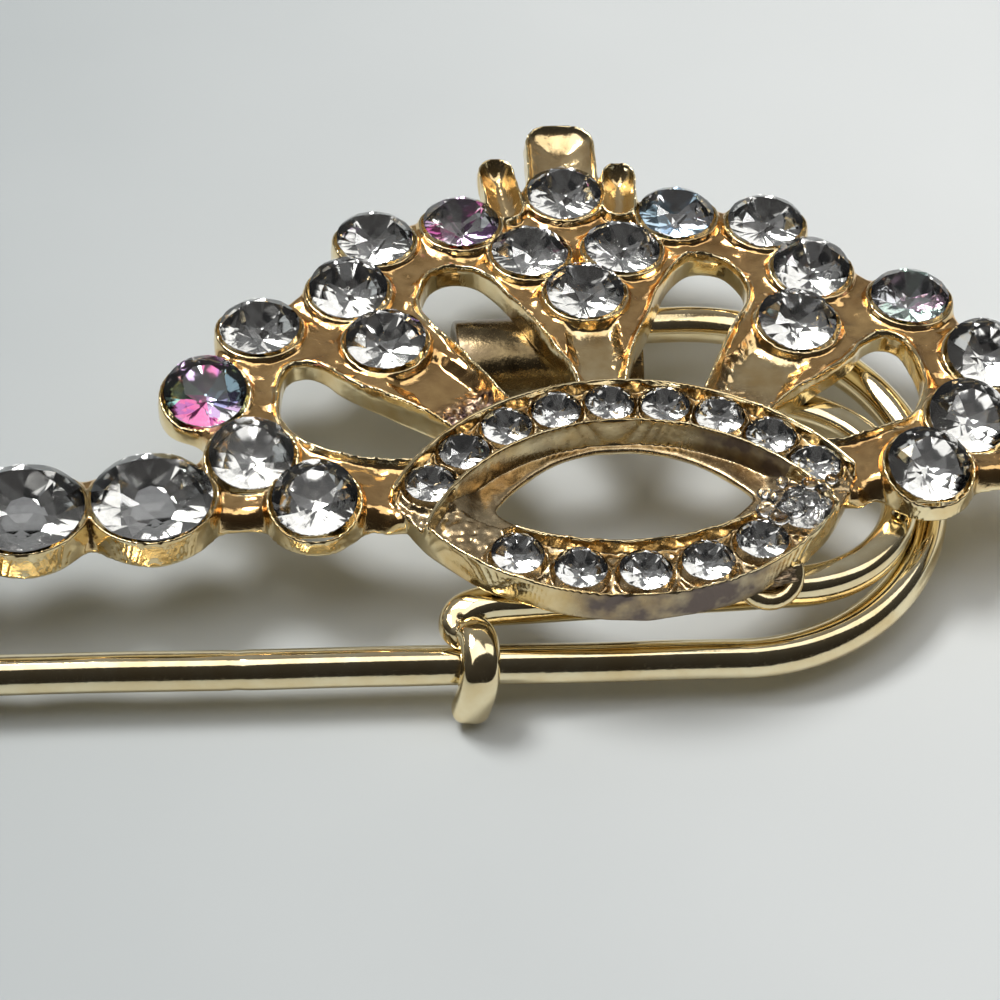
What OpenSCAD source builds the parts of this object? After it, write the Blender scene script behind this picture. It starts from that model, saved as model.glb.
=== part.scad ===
// Tiara brooch on a large wire safety pin, lying on its back.
// +X runs along the row of stones, +Y from the wearer's brow to the tiara's top, +Z out of the stones.
// The origin lies on the surface that the brooch rests on, below the middle of its outline.

/* [Stones] */
// Diameter of the clear stones in the crown
stone_d = 3.2; // [2.6:0.05:3.25]
// Diameter of the small stones in the eye-shaped band
chip_d = 1.95; // [1.6:0.05:2.1]
// Diameter of the large stones in the side rows
large_d = 4.45; // [3.8:0.05:4.8]
// Height of a stone over its girdle, as a share of its diameter
crown_share = 0.16; // [0.1:0.01:0.2]
// Depth of a stone under its girdle, as a share of its diameter
pavilion_share = 0.28; // [0.2:0.01:0.29]
// Width of a stone's flat table, as a share of its diameter
table_share = 0.56; // [0.45:0.01:0.62]
// Play all round between a stone and its seat
seat_gap = 0.04; // [0.02:0.01:0.06]
// Wall round each clear stone
cup_wall = 0.3; // [0.2:0.02:0.4]

/* [Tiara] */
// Half of the crown's width, to the middle of its outermost stones
crown_half_w = 15.6; // [15:0.1:17]
// Height of the crown from the band's tips to the top stone's middle
crown_h = 17.46; // [17:0.1:19]
// Thickness of the casting from its back to the stones' girdles
cast_t = 1.5; // [1.45:0.05:2]
// Depth of the ribs' tops under the girdles
web_drop = 0.45; // [0.3:0.05:0.6]
// Width of the ribs between neighbouring cups
rib_w = 2.2; // [1.8:0.1:2.6]
// Width of the two broad ribs that run down to the band
broad_rib_w = 3.2; // [2.6:0.1:3.4]
// Radius of the fillets between ribs
rib_fillet = 0.6; // [0.3:0.05:0.8]
// Radius of the top leaf behind the highest stone
leaf_r = 1.75; // [1.4:0.05:2]
// Radius of the two small leaves beside it
side_leaf_r = 1.1; // [0.8:0.05:1.2]

/* [Eye-shaped band] */
// Half of the band's width, from its middle to a tip
eye_half_w = 8.92; // [8.6:0.02:9.6]
// Rise of the band's upper edge over the tips
eye_up = 5.4; // [5.2:0.1:5.8]
// Drop of the band's lower edge under the tips
eye_down = 6.2; // [6:0.1:6.6]
// Width of the upper strip at its middle
strip_up_w = 2.55; // [2.4:0.05:2.8]
// Width of the lower strip at its middle
strip_down_w = 3.0; // [2.6:0.05:3.2]
// Half of the opening's width
open_half_w = 6.65; // [6.3:0.05:6.8]
// Thickness of the raised rims
rim_w = 0.32; // [0.2:0.02:0.36]
// Height of the raised rims over the channel
rim_h = 0.55; // [0.4:0.05:0.8]
// Gap between the small stones of the upper strip
chip_gap = 0.22; // [0.15:0.01:0.3]
// Gap between the small stones of the lower strip
low_chip_gap = 0.42; // [0.25:0.01:0.5]

/* [Side rows] */
// Wall round each large stone
large_wall = 0.3; // [0.2:0.02:0.4]
// Gap between the large stones of a row
row_gap = 0.24; // [0.15:0.01:0.4]
// Length of the neck between the crown and the first large cup
neck_len = 1.55; // [1.2:0.05:2]
// Drop of the rows toward their ends, in degrees
row_droop = 2.6; // [1:0.1:4]

/* [Safety pin] */
// Diameter of the pin's wire
pin_d = 1.5; // [1.2:0.05:1.6]
// Diameter of the keeper's wire
keeper_d = 1.5; // [1.2:0.05:1.6]
// Height of the pin's near arm over the surface
near_z = 1.6; // [1.4:0.05:1.9]
// Radius of the pin's round bend, to the wire's middle
bend_r = 8.6; // [8.3:0.05:8.8]
// Place of the bend's middle to the right of the crown's middle
bend_x = 4; // [3:0.1:5]
// Place of the bend's middle above the band's tips
bend_y = 2.5; // [2.3:0.05:2.8]
// Angle at which the near arm closes on the row, in degrees
arm_close = 2.9; // [2:0.1:3.5]
// Place of the far arm's end to the left of the crown's middle
far_end_x = -0.6; // [-1:0.1:0]
// Play between a wire and what it passes
wire_gap = 0.05; // [0.03:0.01:0.1]
// Place of the hook to the left of the crown's middle
hook_x = -6.3; // [-7:0.1:-5.5]
// Distance of the keeper's straight run below the band's tips
rail_y = -4.05; // [-4.2:0.05:-3.9]
// Radius of the keeper's round end, to the wire's middle
keeper_r = 5.0; // [4.6:0.05:5.1]
// Distance between the keeper's round end and the pin's bend, middle to middle along the row
nest = 1.45; // [1.4:0.05:1.7]
// Length of the clasp cap
cap_len = 4.0; // [3.4:0.1:4.6]
// Length of the barrel that carries the pin's far arm
barrel_len = 7.6; // [7:0.1:8]
// Radius of the barrel's open left end
barrel_bore_r = 1.1; // [0.9:0.05:1.3]
// Depth of the barrel's open left end
barrel_depth = 3.2; // [2:0.1:4]
// Distance of the barrel's axis below the far arm's
barrel_drop = 1.15; // [1:0.05:1.2]

/* [Hidden] */
$fn = 48;

// Heights over the surface: near arm, keeper and far arm, casting.
top_wire_z = near_z + pin_d / 2 + keeper_d / 2 + wire_gap;
back_z = top_wire_z + max(pin_d, keeper_d) / 2 + wire_gap;
girdle_z = back_z + cast_t;
web_z = girdle_z - web_drop;
web_base_z = back_z + 0.1;

cup_r = stone_d / 2 + cup_wall;
large_cup_r = large_d / 2 + large_wall;

// One half of the crown, mirrored for the other.
// [share of crown_half_w, share of crown_h, lean toward the brow in degrees]
half_cups = [
    [1.000, 0.341, 17],
    [0.856, 0.554, 3],
    [0.619, 0.676, 8],
    [0.534, 0.857, 2],
    [0.296, 0.905, 2],
    [0.125, 0.782, 2],
    [0.538, 0.489, 8],
    [0.895, 0.135, 17],
    [0.751, -0.011, 17]
];
axis_cups = [
    [0, 0.628, 3],
    [0, 1.000, 2]
];

function place(c, s) = [s * c[0] * crown_half_w, c[1] * crown_h, c[2]];
cups = concat(
    [for (c = half_cups) place(c, -1)],
    [for (c = half_cups) place(c, 1)],
    [for (c = axis_cups) place(c, 1)]
);
half_n = len(half_cups);
function xy(i) = [cups[i][0], cups[i][1]];

// Ribs along the outside of one half: [first cup, second cup, width as a share of rib_w].
half_ribs = [
    [0, 1, 1.0],
    [1, 2, 1.0],
    [2, 3, 1.1],
    [3, 4, 1.0],
    [4, 5, 1.1],
    [0, 7, 1.0],
    [7, 8, 1.1]
];
// The same cups in order, from the topper to the band, as the outline of one half's web.
half_outline = [4, 3, 2, 1, 0, 7, 8];

// Openings of one half, drawn inward by opening_r: [share of crown_half_w, share of crown_h].
opening_r = 0.55;
side_opening = [
    [0.724, 0.392],
    [0.766, 0.401],
    [0.782, 0.304],
    [0.772, 0.258],
    [0.737, 0.200],
    [0.670, 0.160],
    [0.596, 0.143],
    [0.500, 0.132],
    [0.423, 0.166],
    [0.660, 0.329]
];
brow_opening = [
    [0.359, 0.707],
    [0.304, 0.704],
    [0.247, 0.636],
    [0.183, 0.501],
    [0.128, 0.401],
    [0.103, 0.298],
    [0.192, 0.275],
    [0.295, 0.447],
    [0.340, 0.521],
    [0.378, 0.578],
    [0.397, 0.641]
];

// Side rows: middle of the first large stone, then a step for each next one.
row_pitch = large_d + row_gap;
row_x = cups[half_n + 8][0] + cup_r + neck_len + large_cup_r;
row_y = 0.38;
row_n = 3;
function row_xy(k, s) = [
    s * (row_x + k * row_pitch * cos(row_droop)),
    row_y - k * row_pitch * sin(row_droop)
];
row_end = row_x + (row_n - 1) * row_pitch * cos(row_droop) + large_cup_r;

// Edges of the eye-shaped band: arcs through two tips and the middle of each edge.
function arc_r(half, rise) = (half * half + rise * rise) / (2 * rise);
open_tip_y = -0.48;
up_r = arc_r(eye_half_w, eye_up);
up_c = eye_up - up_r;
down_r = arc_r(eye_half_w, eye_down);
down_c = down_r - eye_down;
open_up = eye_up - strip_up_w;
open_down = eye_down - strip_down_w;
in_up_r = arc_r(open_half_w, open_up - open_tip_y);
in_up_c = open_up - in_up_r;
in_down_r = arc_r(open_half_w, open_down + open_tip_y);
in_down_c = in_down_r - open_down;
channel_up_z = girdle_z - 0.4;
channel_down_z = girdle_z - 0.52;

// Small stones on an arc along the middle of each strip.
mid_up_r = (up_r + in_up_r) / 2 - 0.3;
mid_up_y = eye_up - strip_up_w / 2;
mid_down_r = (down_r + in_down_r) / 2 - 0.3;
mid_down_y = -eye_down + strip_down_w / 2 - 0.12;
up_step = (chip_d + chip_gap) / mid_up_r * 180 / PI;
down_step = (chip_d + low_chip_gap) / mid_down_r * 180 / PI;
function up_chip(k) = [
    mid_up_r * sin(k * up_step),
    mid_up_y - mid_up_r * (1 - cos(k * up_step))
];
function down_chip(k) = [
    mid_down_r * sin(k * down_step),
    mid_down_y + mid_down_r * (1 - cos(k * down_step))
];
up_seats = [for (k = [-4 : 4]) concat(up_chip(k), 0)];
down_seats = [for (k = [-2 : 3]) concat(down_chip(k), 0)];

large_seats = [for (s = [-1, 1]) for (k = [0 : row_n - 1]) concat(row_xy(k, s), 0)];

// Every stone: [x, y, lean, diameter].
stones = concat(
    [for (c = cups) concat(c, stone_d)],
    [for (c = up_seats) concat(c, chip_d)],
    [for (c = down_seats) concat(c, chip_d)],
    [for (c = large_seats) concat(c, large_d)]
);

// The pin lies in a plane that rises from the near arm to the far arm.
near_y = bend_y - bend_r;
far_y = bend_y + bend_r;
pin_slope = atan((top_wire_z - near_z) / (2 * bend_r));
arm_dir = [-cos(arm_close), sin(arm_close)];
tangent = [bend_x - bend_r * sin(arm_close), bend_y - bend_r * cos(arm_close)];
cap_x = -row_end + 0.2;
arm_end_x = cap_x + 0.8;
arm_len = (tangent[0] - arm_end_x) / cos(arm_close);
function arm_y(x) = tangent[1] + (tangent[0] - x) * tan(arm_close);
function arm_z(x) = near_z + (arm_y(x) - near_y) * tan(pin_slope);

// The keeper's hook wraps the near arm in front.
hook_r = top_wire_z - arm_z(hook_x);
hook_axis_y = arm_y(hook_x);
// Its round end nests inside the pin's bend.
keeper_y = rail_y + keeper_r;
keeper_x = bend_x + sqrt(pow(bend_r, 2) - pow(keeper_y - bend_y, 2)) - keeper_r - nest;

// The small staple under the lower strip passes in front of the keeper's straight run.
loop_x = 4.75;
loop_r = keeper_d / 2 + 0.25;
loop_wire_r = 0.33;
loop_tilt = 41;
loop_turn = 210;

// The barrel is a fat tube under the crown's middle; the far arm ends in a groove along its back.
barrel_r = (back_z + 0.3) / 2;
barrel_mid = [-1.6, far_y - barrel_drop];

// Middle of the outline, for the origin.
leaf_y = cups[2 * half_n + 1][1] + cup_r + leaf_r * 0.7;
top_y = leaf_y + leaf_r;
hook_front = hook_axis_y - hook_r - keeper_d / 2;
mid_y = (top_y + hook_front) / 2;

function stone_name(i) =
    i < len(cups) ? str("clear_stone_", i + 1)
    : i < len(stones) - len(large_seats) ? str("band_stone_", i + 1 - len(cups))
    : str("large_stone_", i + 1 - len(stones) + len(large_seats));

// Puts what is drawn about the crown's middle at the part's origin.
module framed() {
    translate([0, -mid_y, 0]) children();
}

// Leans what is drawn about a girdle's middle toward the brow.
module at_seat(c) {
    translate([c[0], c[1], girdle_z]) rotate([c[2], 0, 0]) children();
}

// A round brilliant: eight-sided table, star, kite and upper facets, a thin girdle and a pavilion.
module brilliant(d) {
    r = d / 2;
    top = crown_share * d;
    low = pavilion_share * d;
    girdle = 0.03 * d;
    table_r = table_share * r;
    mid_r = (table_r + r) * 0.52;
    mid_z = top * 0.52;
    ring8 = function (radius, z, turn)
        [for (k = [0 : 7]) [radius * cos(45 * k + turn), radius * sin(45 * k + turn), z]];
    ring16 = function (radius, z)
        [for (k = [0 : 15]) [radius * cos(22.5 * k), radius * sin(22.5 * k), z]];
    points = concat(
        ring8(table_r, top, 0),
        ring8(mid_r, mid_z, 22.5),
        ring16(r, 0),
        ring16(r, -girdle),
        [[0, 0, -low]]
    );
    faces = concat(
        [[7, 6, 5, 4, 3, 2, 1, 0]],
        [for (k = [0 : 7]) [k, (k + 1) % 8, 8 + k]],
        [for (k = [0 : 7]) [k, 8 + k, 16 + 2 * k]],
        [for (k = [0 : 7]) [(k + 1) % 8, 16 + (2 * k + 2) % 16, 8 + k]],
        [for (k = [0 : 7]) [8 + k, 17 + 2 * k, 16 + 2 * k]],
        [for (k = [0 : 7]) [8 + k, 16 + (2 * k + 2) % 16, 17 + 2 * k]],
        [for (k = [0 : 15]) [16 + k, 16 + (k + 1) % 16, 32 + (k + 1) % 16]],
        [for (k = [0 : 15]) [16 + k, 32 + (k + 1) % 16, 32 + k]],
        [for (k = [0 : 15]) [32 + k, 32 + (k + 1) % 16, 48]]
    );
    polyhedron(points, [for (f = faces) [for (k = [len(f) - 1 : -1 : 0]) f[k]]]);
}

module stone(i) {
    s = stones[i];
    color("lavender") framed() at_seat(s) brilliant(s[3]);
}

// The hollow that takes a stone: a cone under a round bore, open at the top.
module seat_cut(d) {
    r = d / 2 + seat_gap;
    girdle = 0.03 * d + seat_gap;
    low = pavilion_share * d + seat_gap;
    rotate_extrude() polygon([[0, -low], [r, -girdle], [r, 2], [0, 2]]);
}

// Upright cups in one prism.
module cup_prism(seats, radius, rim) {
    translate([0, 0, back_z]) linear_extrude(cast_t + rim) union() {
        for (c = seats) translate([c[0], c[1]]) circle(r = radius);
    }
}

// A rib in plan, from one point to another.
module rib(a, b, w) {
    d = b - a;
    translate(a) rotate(atan2(d[1], d[0])) translate([0, -w / 2]) square([norm(d), w]);
}

// The crown's ribs in plan, filleted where they meet.
module opening(points, s) {
    offset(r = opening_r, $fn = 16)
        polygon([for (p = points) [s * p[0] * crown_half_w, p[1] * crown_h]]);
}

module web_plan() {
    neck = [eye_half_w - 0.6, 0];
    top = 2 * half_n + 1;
    difference() {
        offset(r = -rib_fillet, $fn = 16) offset(delta = rib_fillet) {
            polygon(concat(
                [xy(top)],
                [for (i = half_outline) xy(i)],
                [[-neck[0], neck[1]], neck],
                [for (i = [len(half_outline) - 1 : -1 : 0]) xy(half_n + half_outline[i])]
            ));
            for (s = [0, 1]) for (r = half_ribs) {
                rib(xy(r[0] + s * half_n), xy(r[1] + s * half_n), r[2] * rib_w);
            }
            for (s = [-1, 1]) {
                side = s < 0 ? 0 : half_n;
                rib(xy(side + 4), xy(top), rib_w * 0.9);
                rib(xy(side + 8), [s * neck[0], neck[1]], rib_w * 1.1);
                rib(xy(side + 7), row_xy(0, s), rib_w);
                rib(xy(side + 8), row_xy(0, s), rib_w * 0.9);
                rib(row_xy(0, s), row_xy(row_n - 1, s), large_d * 0.8);
            }
        }
        for (s = [-1, 1]) {
            opening(side_opening, s);
            opening(brow_opening, s);
        }
    }
    rib(xy(6), [-eye_half_w * 0.52, eye_up * 0.68], broad_rib_w);
    rib(xy(half_n + 6), [eye_half_w * 0.52, eye_up * 0.68], broad_rib_w);
}

module disc(y, r) {
    translate([0, y]) circle(r = r, $fn = 128);
}

// The band's whole eye shape and its opening, in plan.
module eye_plan() {
    intersection() {
        disc(up_c, up_r);
        disc(down_c, down_r);
    }
}

module open_plan() {
    intersection() {
        disc(in_up_c, in_up_r);
        disc(in_down_c, in_down_r);
    }
}

// A raised rim along the inside of a circle, in plan.
module rim_plan(y, outer) {
    difference() {
        disc(y, outer);
        disc(y, outer - rim_w);
    }
}

module band() {
    up_h = channel_up_z - back_z;
    down_h = channel_down_z - back_z;
    difference() {
        union() {
            // Lower strip.
            translate([0, 0, back_z]) linear_extrude(down_h) eye_plan();
            translate([0, 0, back_z]) linear_extrude(down_h + rim_h) intersection() {
                rim_plan(down_c, down_r);
                disc(up_c, up_r - 0.05);
            }
            translate([0, 0, back_z]) linear_extrude(down_h + rim_h) intersection() {
                rim_plan(in_down_c, in_down_r + rim_w);
                disc(in_up_c, in_up_r + 0.05);
            }
            // Upper strip, which passes over the lower one at the tips.
            translate([0, 0, back_z]) linear_extrude(up_h) difference() {
                eye_plan();
                disc(in_up_c, in_up_r + 0.1);
            }
            translate([0, 0, back_z]) linear_extrude(up_h + rim_h) intersection() {
                rim_plan(up_c, up_r);
                disc(down_c, down_r - 0.05);
            }
            translate([0, 0, back_z]) linear_extrude(up_h + rim_h) intersection() {
                rim_plan(in_up_c, in_up_r + rim_w);
                disc(down_c, down_r - 0.05);
                translate([-eye_half_w, -2.4]) square([2 * eye_half_w, eye_up + 2.4]);
            }
        }
        translate([0, 0, back_z - 1]) linear_extrude(cast_t + 3) open_plan();
    }
}

// One hollow leaf of the topper: a round dish.
module leaf(x, y, r) {
    translate([x, y, 0]) difference() {
        translate([0, 0, back_z + 0.15]) cylinder(r = r, h = girdle_z + 0.25 - back_z - 0.15);
        translate([0, 0, girdle_z + r * 0.75]) sphere(r = r * 1.14);
    }
}

// The small staple under the lower strip, in front of the keeper's straight run.
module keeper_loop() {
    y = rail_y - 0.36;
    z = back_z + loop_wire_r;
    translate([loop_x, y, z]) rotate([180 + loop_tilt, 0, 0]) rotate([0, 0, (180 - loop_turn) / 2])
        rotate_extrude(angle = loop_turn) translate([loop_r, 0]) circle(r = loop_wire_r);
}

// The barrel that carries the pin's far arm, hollow at its left end.
module barrel() {
    translate([barrel_mid[0], barrel_mid[1], barrel_r]) rotate([0, 90, 0]) difference() {
        cylinder(r = barrel_r, h = barrel_len, center = true);
        translate([0, 0, -barrel_len / 2 - 1]) cylinder(r = barrel_bore_r, h = barrel_depth + 1);
    }
}

module crown() {
    color("goldenrod") framed() difference() {
        union() {
            translate([0, 0, web_base_z]) linear_extrude(web_z - web_base_z) difference() {
                web_plan();
                open_plan();
            }
            band();
            cup_prism(cups, cup_r, 0.1);
            cup_prism(large_seats, large_cup_r, 0.12);
            leaf(0, leaf_y, leaf_r);
            for (s = [-1, 1]) {
                leaf(s * (cup_r + side_leaf_r * 0.6), cups[2 * half_n + 1][1] + 1, side_leaf_r);
            }
            keeper_loop();
            barrel();
        }
        for (c = cups) at_seat(c) seat_cut(stone_d);
        for (c = large_seats) at_seat(c) seat_cut(large_d);
        for (c = concat(up_seats, down_seats)) at_seat(c) seat_cut(chip_d);
        far_bore(6);
    }
}

// Sides of a wire's section.
wire_n = 16;

// Sweeps a round section along stations: [point, side direction, other side direction, radius].
module sweep(stations) {
    last = len(stations) - 1;
    points = [for (f = stations) for (k = [0 : wire_n - 1])
        f[0] + f[3] * (cos(360 * k / wire_n) * f[1] + sin(360 * k / wire_n) * f[2])];
    sides = [for (i = [0 : last - 1]) for (k = [0 : wire_n - 1])
        [i * wire_n + k, i * wire_n + (k + 1) % wire_n,
         (i + 1) * wire_n + (k + 1) % wire_n, (i + 1) * wire_n + k]];
    start = [for (k = [wire_n - 1 : -1 : 0]) k];
    end = [for (k = [0 : wire_n - 1]) last * wire_n + k];
    polyhedron(points, concat([start], sides, [end]));
}

// Puts what is drawn flat in the pin's sloping plane.
module in_pin_plane() {
    translate([0, near_y, near_z]) rotate([pin_slope, 0, 0]) translate([0, -near_y, 0]) children();
}

up = [0, 0, 1];
function across(t) = [t[1], -t[0], 0];
function flat_station(p, t, r) = [[p[0], p[1], 0], up, across(t), r];

// The pin's wire: near arm, round bend and far arm.
arc_n = 28;
function pin_stations(r) = concat(
    [flat_station(tangent + arm_len * arm_dir, -arm_dir, r)],
    [for (i = [0 : arc_n]) let (a = -90 - arm_close + i * (180 + arm_close) / arc_n)
        flat_station([bend_x + bend_r * cos(a), bend_y + bend_r * sin(a)], [-sin(a), cos(a)], r)],
    [flat_station([far_end_x, far_y], [-1, 0], r)]
);

module pin_wire() {
    color("gold") framed() in_pin_plane() sweep(pin_stations(pin_d / 2));
}

// Round bores for the two ends of the pin's wire.
module near_bore(length) {
    tip = tangent + (arm_len + 0.4) * arm_dir;
    in_pin_plane() translate([tip[0], tip[1], 0]) rotate([0, 0, -arm_close]) rotate([0, 90, 0])
        cylinder(r = pin_d / 2 + wire_gap, h = length);
}

module far_bore(length) {
    in_pin_plane() translate([far_end_x - 0.1, far_y, 0]) rotate([0, 90, 0])
        cylinder(r = pin_d / 2 + wire_gap * 0.6, h = length);
}

// The keeper's wire: round end, straight run, turn toward the brow, hook and tongue.
turn_r = 1.3;
turn_n = 8;
tongue_r = keeper_d / 2;
tongue_y = hook_axis_y - hook_r;
function level_station(p, t) = [[p[0], p[1], top_wire_z], up, across(t), keeper_d / 2];
function hook_station(y, z, t, r) = [[hook_x, y, z], [0, -t[1], t[0]], [-1, 0, 0], r];
keeper_stations = concat(
    [for (i = [0 : arc_n]) let (a = 90 - i * 180 / arc_n)
        level_station([keeper_x + keeper_r * cos(a), keeper_y + keeper_r * sin(a)], [sin(a), -cos(a)])],
    [for (i = [0 : turn_n]) let (a = 90 + i * 90 / turn_n)
        level_station([hook_x + turn_r + turn_r * cos(a), rail_y - turn_r + turn_r * sin(a)],
            [-sin(a), cos(a)])],
    [for (i = [0 : turn_n]) let (a = 90 + i * 90 / turn_n)
        hook_station(hook_axis_y + hook_r * cos(a), top_wire_z - hook_r + hook_r * sin(a),
            [-sin(a), cos(a)], tongue_r)],
    [for (i = [0 : 4]) let (a = i * 20)
        hook_station(tongue_y, tongue_r * (1 - sin(a)), [0, -1], tongue_r * cos(a))]
);

module keeper_wire() {
    color("gold") framed() sweep(keeper_stations);
}

// The plain cap that the near arm's tip snaps into, under the end of the left row.
module pin_head() {
    y = arm_y(cap_x + cap_len / 2);
    z = arm_z(cap_x + cap_len / 2);
    shelf_z = back_z - wire_gap;
    color("goldenrod") framed() difference() {
        translate([cap_x, 0, 0]) rotate([90, 0, 90]) linear_extrude(cap_len) union() {
            translate([y, z]) circle(r = z);
            translate([y, 0]) square([row_y - y + 0.6, 1.2]);
            translate([row_y - 1.4, 0]) square([2, shelf_z]);
        }
        near_bore(12);
    }
}

crown();
pin_wire();
keeper_wire();
pin_head();
for (i = [0 : len(stones) - 1]) {
    stone(i);
}
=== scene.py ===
"""Safety pin brooch: a gold-plated tiara set with rhinestones, soldered on a large wire safety pin.

Sizes in this file are millimetres in the crown's own plan: X along the row of stones, Y from the
tips of the eye-shaped band to the topper, Z up from the surface that the brooch lies on. Builder
classes turn them into metres in the frame's axes when a mesh is made.
"""

import logging
import math
from collections.abc import Iterator
from dataclasses import dataclass, field
from enum import Enum

import bpy
import numpy as np
from mathutils import Matrix, Vector


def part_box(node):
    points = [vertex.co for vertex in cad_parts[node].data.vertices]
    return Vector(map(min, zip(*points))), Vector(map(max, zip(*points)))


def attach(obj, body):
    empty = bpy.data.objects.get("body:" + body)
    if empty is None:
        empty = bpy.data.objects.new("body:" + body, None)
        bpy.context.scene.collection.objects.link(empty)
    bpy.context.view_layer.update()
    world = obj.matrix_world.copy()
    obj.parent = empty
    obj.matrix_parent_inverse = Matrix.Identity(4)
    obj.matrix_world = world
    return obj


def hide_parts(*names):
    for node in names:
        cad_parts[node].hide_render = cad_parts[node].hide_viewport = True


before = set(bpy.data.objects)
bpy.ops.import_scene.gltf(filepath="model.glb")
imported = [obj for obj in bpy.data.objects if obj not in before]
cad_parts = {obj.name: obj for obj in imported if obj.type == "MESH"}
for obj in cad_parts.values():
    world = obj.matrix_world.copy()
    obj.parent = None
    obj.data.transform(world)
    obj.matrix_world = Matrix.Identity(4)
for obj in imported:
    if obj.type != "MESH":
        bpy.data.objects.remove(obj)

LOG = logging.getLogger("brooch")
Array = np.ndarray
Colour = tuple[float, float, float]

MM = 0.001
BODY = "root"
TOP_Y = 22.335
MID_Y = TOP_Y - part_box("crown")[1][1] / MM

NEAR_Z = 1.6
WIRE_R = 0.75
WIRE_GAP = 0.05
TOP_WIRE_Z = NEAR_Z + 2 * WIRE_R + WIRE_GAP
BACK_Z = TOP_WIRE_Z + WIRE_R + WIRE_GAP
GIRDLE_Z = BACK_Z + 1.5
WEB_Z = GIRDLE_Z - 0.45

STONE_D = 3.2
CHIP_D = 1.95
LARGE_D = 4.5


class Metal(Enum):
    """The gold surfaces of the brooch."""

    CASTING = "cast_gold"
    WIRE = "wire_gold"
    CAP = "cap_gold"
    # Painted shade: the barrel's gold is painted dark brown for the shade under the crown.
    BARREL = "shaded_gold"


class Cut(Enum):
    """The kinds of stone."""

    CLEAR = "clear"
    RAINBOW = "rainbow"


# Array helpers


def smoothstep(low: float, high: float, x: Array) -> Array:
    """Rises from 0 at low to 1 at high, level at both ends: 3t^2 - 2t^3.

    Args:
        low: value of x where the step starts.
        high: value of x where it ends.
        x: the array to judge.

    Returns:
        An array of the same shape, from 0 to 1.
    """
    t = np.clip((x - low) / (high - low), 0.0, 1.0)
    return t * t * (3.0 - 2.0 * t)


def smooth_min(a: Array, b: Array, reach: float) -> Array:
    """The lesser of two distances, blended where they differ by less than reach.

    Args:
        a: first distance.
        b: second distance.
        reach: width of the blend.

    Returns:
        min(a, b) less h^2 reach / 4, with h the share of the blend that is left.
    """
    h = np.maximum(reach - np.abs(a - b), 0.0) / reach
    return np.minimum(a, b) - h * h * reach * 0.25


def blend(a: Array, b: Array, share: Array) -> Array:
    """a where share is 0 and b where it is 1."""
    return a + (b - a) * share


def bump(offset: Array, width: float) -> Array:
    """1 where offset is 0, falling off on both sides as a bell of the given width."""
    return np.exp(-((offset / width) ** 2))


def lattice_noise(points: Array, size: float, seed: int) -> Array:
    """Smooth noise between -1 and 1: random values on a lattice, blended between its corners.

    Args:
        points: coordinates, the last axis holding 2 or 3 of them.
        size: distance between lattice corners.
        seed: chooses the pattern.

    Returns:
        One value for each point.
    """
    p = points / size
    cell = np.floor(p).astype(np.int64)
    t = p - cell
    t = t * t * (3.0 - 2.0 * t)
    dims = points.shape[-1]
    primes = (73856093, 19349663, 83492791)
    total = np.zeros(points.shape[:-1])
    for corner in range(2**dims):
        key = np.full(points.shape[:-1], seed * 2654435761 % 4294967291, dtype=np.int64)
        weight = np.ones(points.shape[:-1])
        for axis in range(dims):
            bit = (corner >> axis) & 1
            key = key ^ ((cell[..., axis] + bit) * primes[axis])
            weight = weight * (t[..., axis] if bit else 1.0 - t[..., axis])
        key = (key ^ (key >> 13)) * 1274126177
        value = ((key ^ (key >> 16)) & 0xFFFF) / 32767.5 - 1.0
        total += weight * value
    return total


def to_frame(points: Array) -> Array:
    """Crown-plan millimetres to metres in the frame's axes."""
    return (np.asarray(points, dtype=float) - np.array([0.0, MID_Y, 0.0])) * MM


def mesh_object(
    name: str,
    points: Array,
    faces: Array | list[list[int]],
    smooth: bool,
    attributes: dict[str, Array] | None = None,
    normals: Array | None = None,
) -> bpy.types.Object:
    """Makes a mesh object whose place is in its mesh.

    Args:
        name: the object's name.
        points: (n, 3) millimetres in the crown's plan.
        faces: (m, 4) or (m, 3) indices, or a list of faces of any length.
        smooth: whether the surface is shaded smooth.
        attributes: a value for each point, by name.
        normals: a normal for each point, where the shading follows one larger surface.

    Returns:
        The new object, linked to the scene.
    """
    mesh = bpy.data.meshes.new(name)
    co = to_frame(points)
    if isinstance(faces, list):
        mesh.from_pydata(co.tolist(), [], faces)
    else:
        count, sides = faces.shape
        mesh.vertices.add(len(co))
        mesh.vertices.foreach_set("co", co.astype(np.float32).ravel())
        mesh.loops.add(count * sides)
        mesh.loops.foreach_set("vertex_index", faces.astype(np.int32).ravel())
        mesh.polygons.add(count)
        mesh.polygons.foreach_set("loop_start", np.arange(0, count * sides, sides, dtype=np.int32))
        mesh.update(calc_edges=True)
    for key, values in (attributes or {}).items():
        layer = mesh.attributes.new(key, "FLOAT", "POINT")
        layer.data.foreach_set("value", np.asarray(values, dtype=np.float32))
    mesh.polygons.foreach_set("use_smooth", np.full(len(mesh.polygons), smooth))
    mesh.validate()
    mesh.update()
    if normals is not None:
        mesh.normals_split_custom_set_from_vertices(normals.tolist())
    obj = bpy.data.objects.new(name, mesh)
    bpy.context.scene.collection.objects.link(obj)
    return obj


def drawn_section(sides: int, turn: float, power: float = 2.6) -> Array:
    """The radius round a slightly squared wire: (|cos|^p + |sin|^p)^(-1/p), its flats at turn degrees.

    Args:
        sides: points round the section.
        turn: where the flats are, in degrees from the side vector.
        power: 2 gives a circle, and more a squarer section.

    Returns:
        The radius at each point, 1 on average.
    """
    a = np.linspace(0.0, 2 * np.pi, sides, endpoint=False) - math.radians(turn)
    radius = (np.abs(np.cos(a)) ** power + np.abs(np.sin(a)) ** power) ** (-1.0 / power)
    return radius / radius.mean()


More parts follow.
